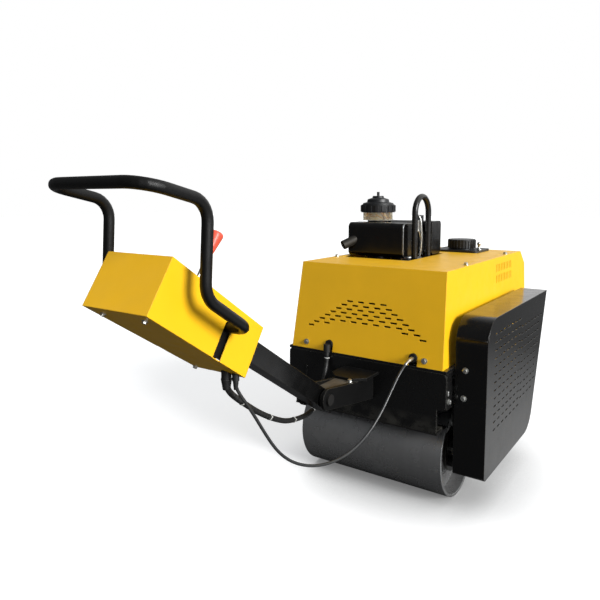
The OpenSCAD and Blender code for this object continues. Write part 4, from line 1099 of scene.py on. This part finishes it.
class ROLLER_OT_stage(bpy.types.Operator):
    """Sets the floor, the soft light and the camera of the photograph"""

    bl_idname = "roller.stage"
    bl_label = "Stage"

    def floor(self):
        """A floor that is white to the eye, keeps the shadow, has a painted shadow close under the machine
        and is dim in glosses but for one pool.
        """
        mesh = bpy.data.meshes.new("floor")
        s = FLOOR_HALF
        mesh.from_pydata([(-s, -s, 0), (s, -s, 0), (s, s, 0), (-s, s, 0)], [], [(0, 1, 2, 3)])
        ground = bpy.data.objects.new("floor", mesh)
        bpy.context.scene.collection.objects.link(ground)
        tree, shader, own = start_finish("Pale studio floor")
        place = own["Object"]
        glossy, eye, side = eye_and_side(tree, place, FLOOR_POOL, 0.3, 0.65)
        beyond = add(tree, "ShaderNodeSeparateXYZ", {"Vector": place}).outputs["Y"]
        near = add(
            tree,
            "ShaderNodeMapRange",
            {"Value": beyond, "From Min": 0.6, "From Max": 2.8, "To Min": 0.5, "To Max": 0.05},
        ).outputs["Result"]
        pool = add(tree, "ShaderNodeMath", {0: side, 1: near}, operation="MULTIPLY").outputs[0]
        gloss = add(tree, "ShaderNodeMath", {0: pool, 1: glossy}, operation="MULTIPLY").outputs[0]
        # A painted contact shadow: ambient occlusion darkens the floor's colour and glow to the eye where the
        # machine stands close over it
        sky = add(tree, "ShaderNodeAmbientOcclusion", {"Distance": PAINTED_SHADOW_REACH}, samples=16).outputs["AO"]
        free = add(
            tree,
            "ShaderNodeMapRange",
            {"Value": sky, "From Min": 0.3, "From Max": 0.85, "To Min": 0.35, "To Max": 1.0},
        ).outputs["Result"]
        view = add(tree, "ShaderNodeMath", {0: eye, 1: free}, operation="MULTIPLY").outputs[0]
        seen = add(tree, "ShaderNodeMath", {0: view, 1: gloss}, operation="MAXIMUM").outputs[0]
        _, pale = clouded(tree, place, FLOOR_PATCH_MM, 2.0, linear("#E8E8E7"), linear("#ECECEB"))
        tone = add(
            tree,
            "ShaderNodeMix",
            {FACTOR: seen, COLOUR_A: linear("#484848"), COLOUR_B: pale},
            data_type="RGBA",
        ).outputs[MIXED]
        glow = add(tree, "ShaderNodeMath", {0: seen, 1: FLOOR_GLOW}, operation="MULTIPLY").outputs[0]
        feed(tree, shader, {"Base Color": tone, "Roughness": 0.9, "Specular IOR Level": 0.1})
        feed(tree, shader, {"Emission Color": linear("#FFFFFF"), "Emission Strength": glow})
        mesh.materials.append(bpy.data.materials["Pale studio floor"])

    def sky(self):
        """A soft dim room with a white backdrop for the eye and for glosses that face it."""
        world = bpy.data.worlds.new("Soft studio")
        world.use_nodes = True
        tree = world.node_tree
        tree.nodes.clear()
        way = add(tree, "ShaderNodeTexCoord").outputs["Generated"]
        glossy, eye, side = eye_and_side(tree, way, BACKDROP, -0.1, 0.4)
        gloss = add(tree, "ShaderNodeMath", {0: side, 1: glossy}, operation="MULTIPLY").outputs[0]
        seen = add(tree, "ShaderNodeMath", {0: eye, 1: gloss}, operation="MAXIMUM").outputs[0]
        level = add(
            tree, "ShaderNodeMapRange", {"Value": glossy, "To Min": SKY_LEVEL, "To Max": SKY_IN_GLOSS}
        ).outputs["Result"]
        soft = add(tree, "ShaderNodeBackground", {"Color": linear("#F4F7FB"), "Strength": level}).outputs[0]
        white = add(tree, "ShaderNodeBackground", {"Color": linear("#FFFFFF"), "Strength": 1.0}).outputs[0]
        both = add(tree, "ShaderNodeMixShader", {0: seen, 1: soft, 2: white}).outputs[0]
        add(tree, "ShaderNodeOutputWorld", {"Surface": both})
        bpy.context.scene.world = world

    def lamp(self):
        """One broad soft lamp from the machine's right."""
        light = bpy.data.lights.new("key", "SUN")
        light.energy = SUN_LEVEL
        light.angle = SUN_SPREAD
        holder = bpy.data.objects.new("key", light)
        bpy.context.scene.collection.objects.link(holder)
        holder.rotation_euler = (-SUN_FROM).to_track_quat("-Z", "Y").to_euler()

    def camera(self):
        """The camera of the photograph, found by fitting known corners."""
        a, e, r = (math.radians(v) for v in (CAMERA_TURN, CAMERA_DIP, CAMERA_ROLL))
        ahead = Vector((-math.sin(a) * math.cos(e), math.cos(a) * math.cos(e), -math.sin(e)))
        level = Vector((math.cos(a), math.sin(a), 0))
        above = level.cross(ahead)
        right = level * math.cos(r) + above * math.sin(r)
        up = above * math.cos(r) - level * math.sin(r)
        lens = bpy.data.cameras.new("photo_camera")
        lens.sensor_fit = "HORIZONTAL"
        lens.lens = lens.sensor_width * FOCAL_PX / FRAME_PX
        lens.shift_x = (FRAME_PX / 2 - MIDDLE_PX[0]) / FRAME_PX
        lens.shift_y = (MIDDLE_PX[1] - FRAME_PX / 2) / FRAME_PX
        lens.clip_end = VIEW_REACH
        holder = bpy.data.objects.new("photo_camera", lens)
        bpy.context.scene.collection.objects.link(holder)
        turn = Matrix((right, up, -ahead)).transposed().to_4x4()
        holder.matrix_world = Matrix.Translation(at(*CAMERA_PLACE)) @ turn
        bpy.context.scene.camera = holder

    def execute(self, context):
        context.scene.view_settings.view_transform = "Standard"
        self.camera()
        self.floor()
        self.sky()
        self.lamp()
        return {"FINISHED"}


class ROLLER_PT_panel(bpy.types.Panel):
    """Lists the roller's pieces, sizes and colours"""

    bl_label = "Tandem roller"
    bl_idname = "ROLLER_PT_panel"
    bl_space_type = "VIEW_3D"
    bl_region_type = "UI"
    bl_category = "Roller"

    def draw(self, context):
        for step in STEPS:
            self.layout.operator(step.bl_idname)
        for group in (context.scene.roller_sizes, context.scene.roller_colours):
            for key in group.__annotations__:
                self.layout.prop(group, key)


STEPS = (
    ROLLER_OT_finishes,
    ROLLER_OT_stage,
    ROLLER_OT_control_cable,
    ROLLER_OT_harness,
    ROLLER_OT_fasteners,
    ROLLER_OT_cleaner,
    ROLLER_OT_engine_trim,
    ROLLER_OT_chassis_trim,
    ROLLER_OT_slot_plates,
)
CLASSES = (RollerColours, RollerSizes, *STEPS, ROLLER_PT_panel)


def register():
    for made in CLASSES:
        bpy.utils.register_class(made)
    bpy.types.Scene.roller_colours = bpy.props.PointerProperty(type=RollerColours)
    bpy.types.Scene.roller_sizes = bpy.props.PointerProperty(type=RollerSizes)


def unregister():
    del bpy.types.Scene.roller_sizes
    del bpy.types.Scene.roller_colours
    for made in reversed(CLASSES):
        bpy.utils.unregister_class(made)


def main():
    register()
    for step in STEPS:
        getattr(bpy.ops.roller, step.bl_idname.split(".")[1])()


if __name__ == "__main__":
    main()
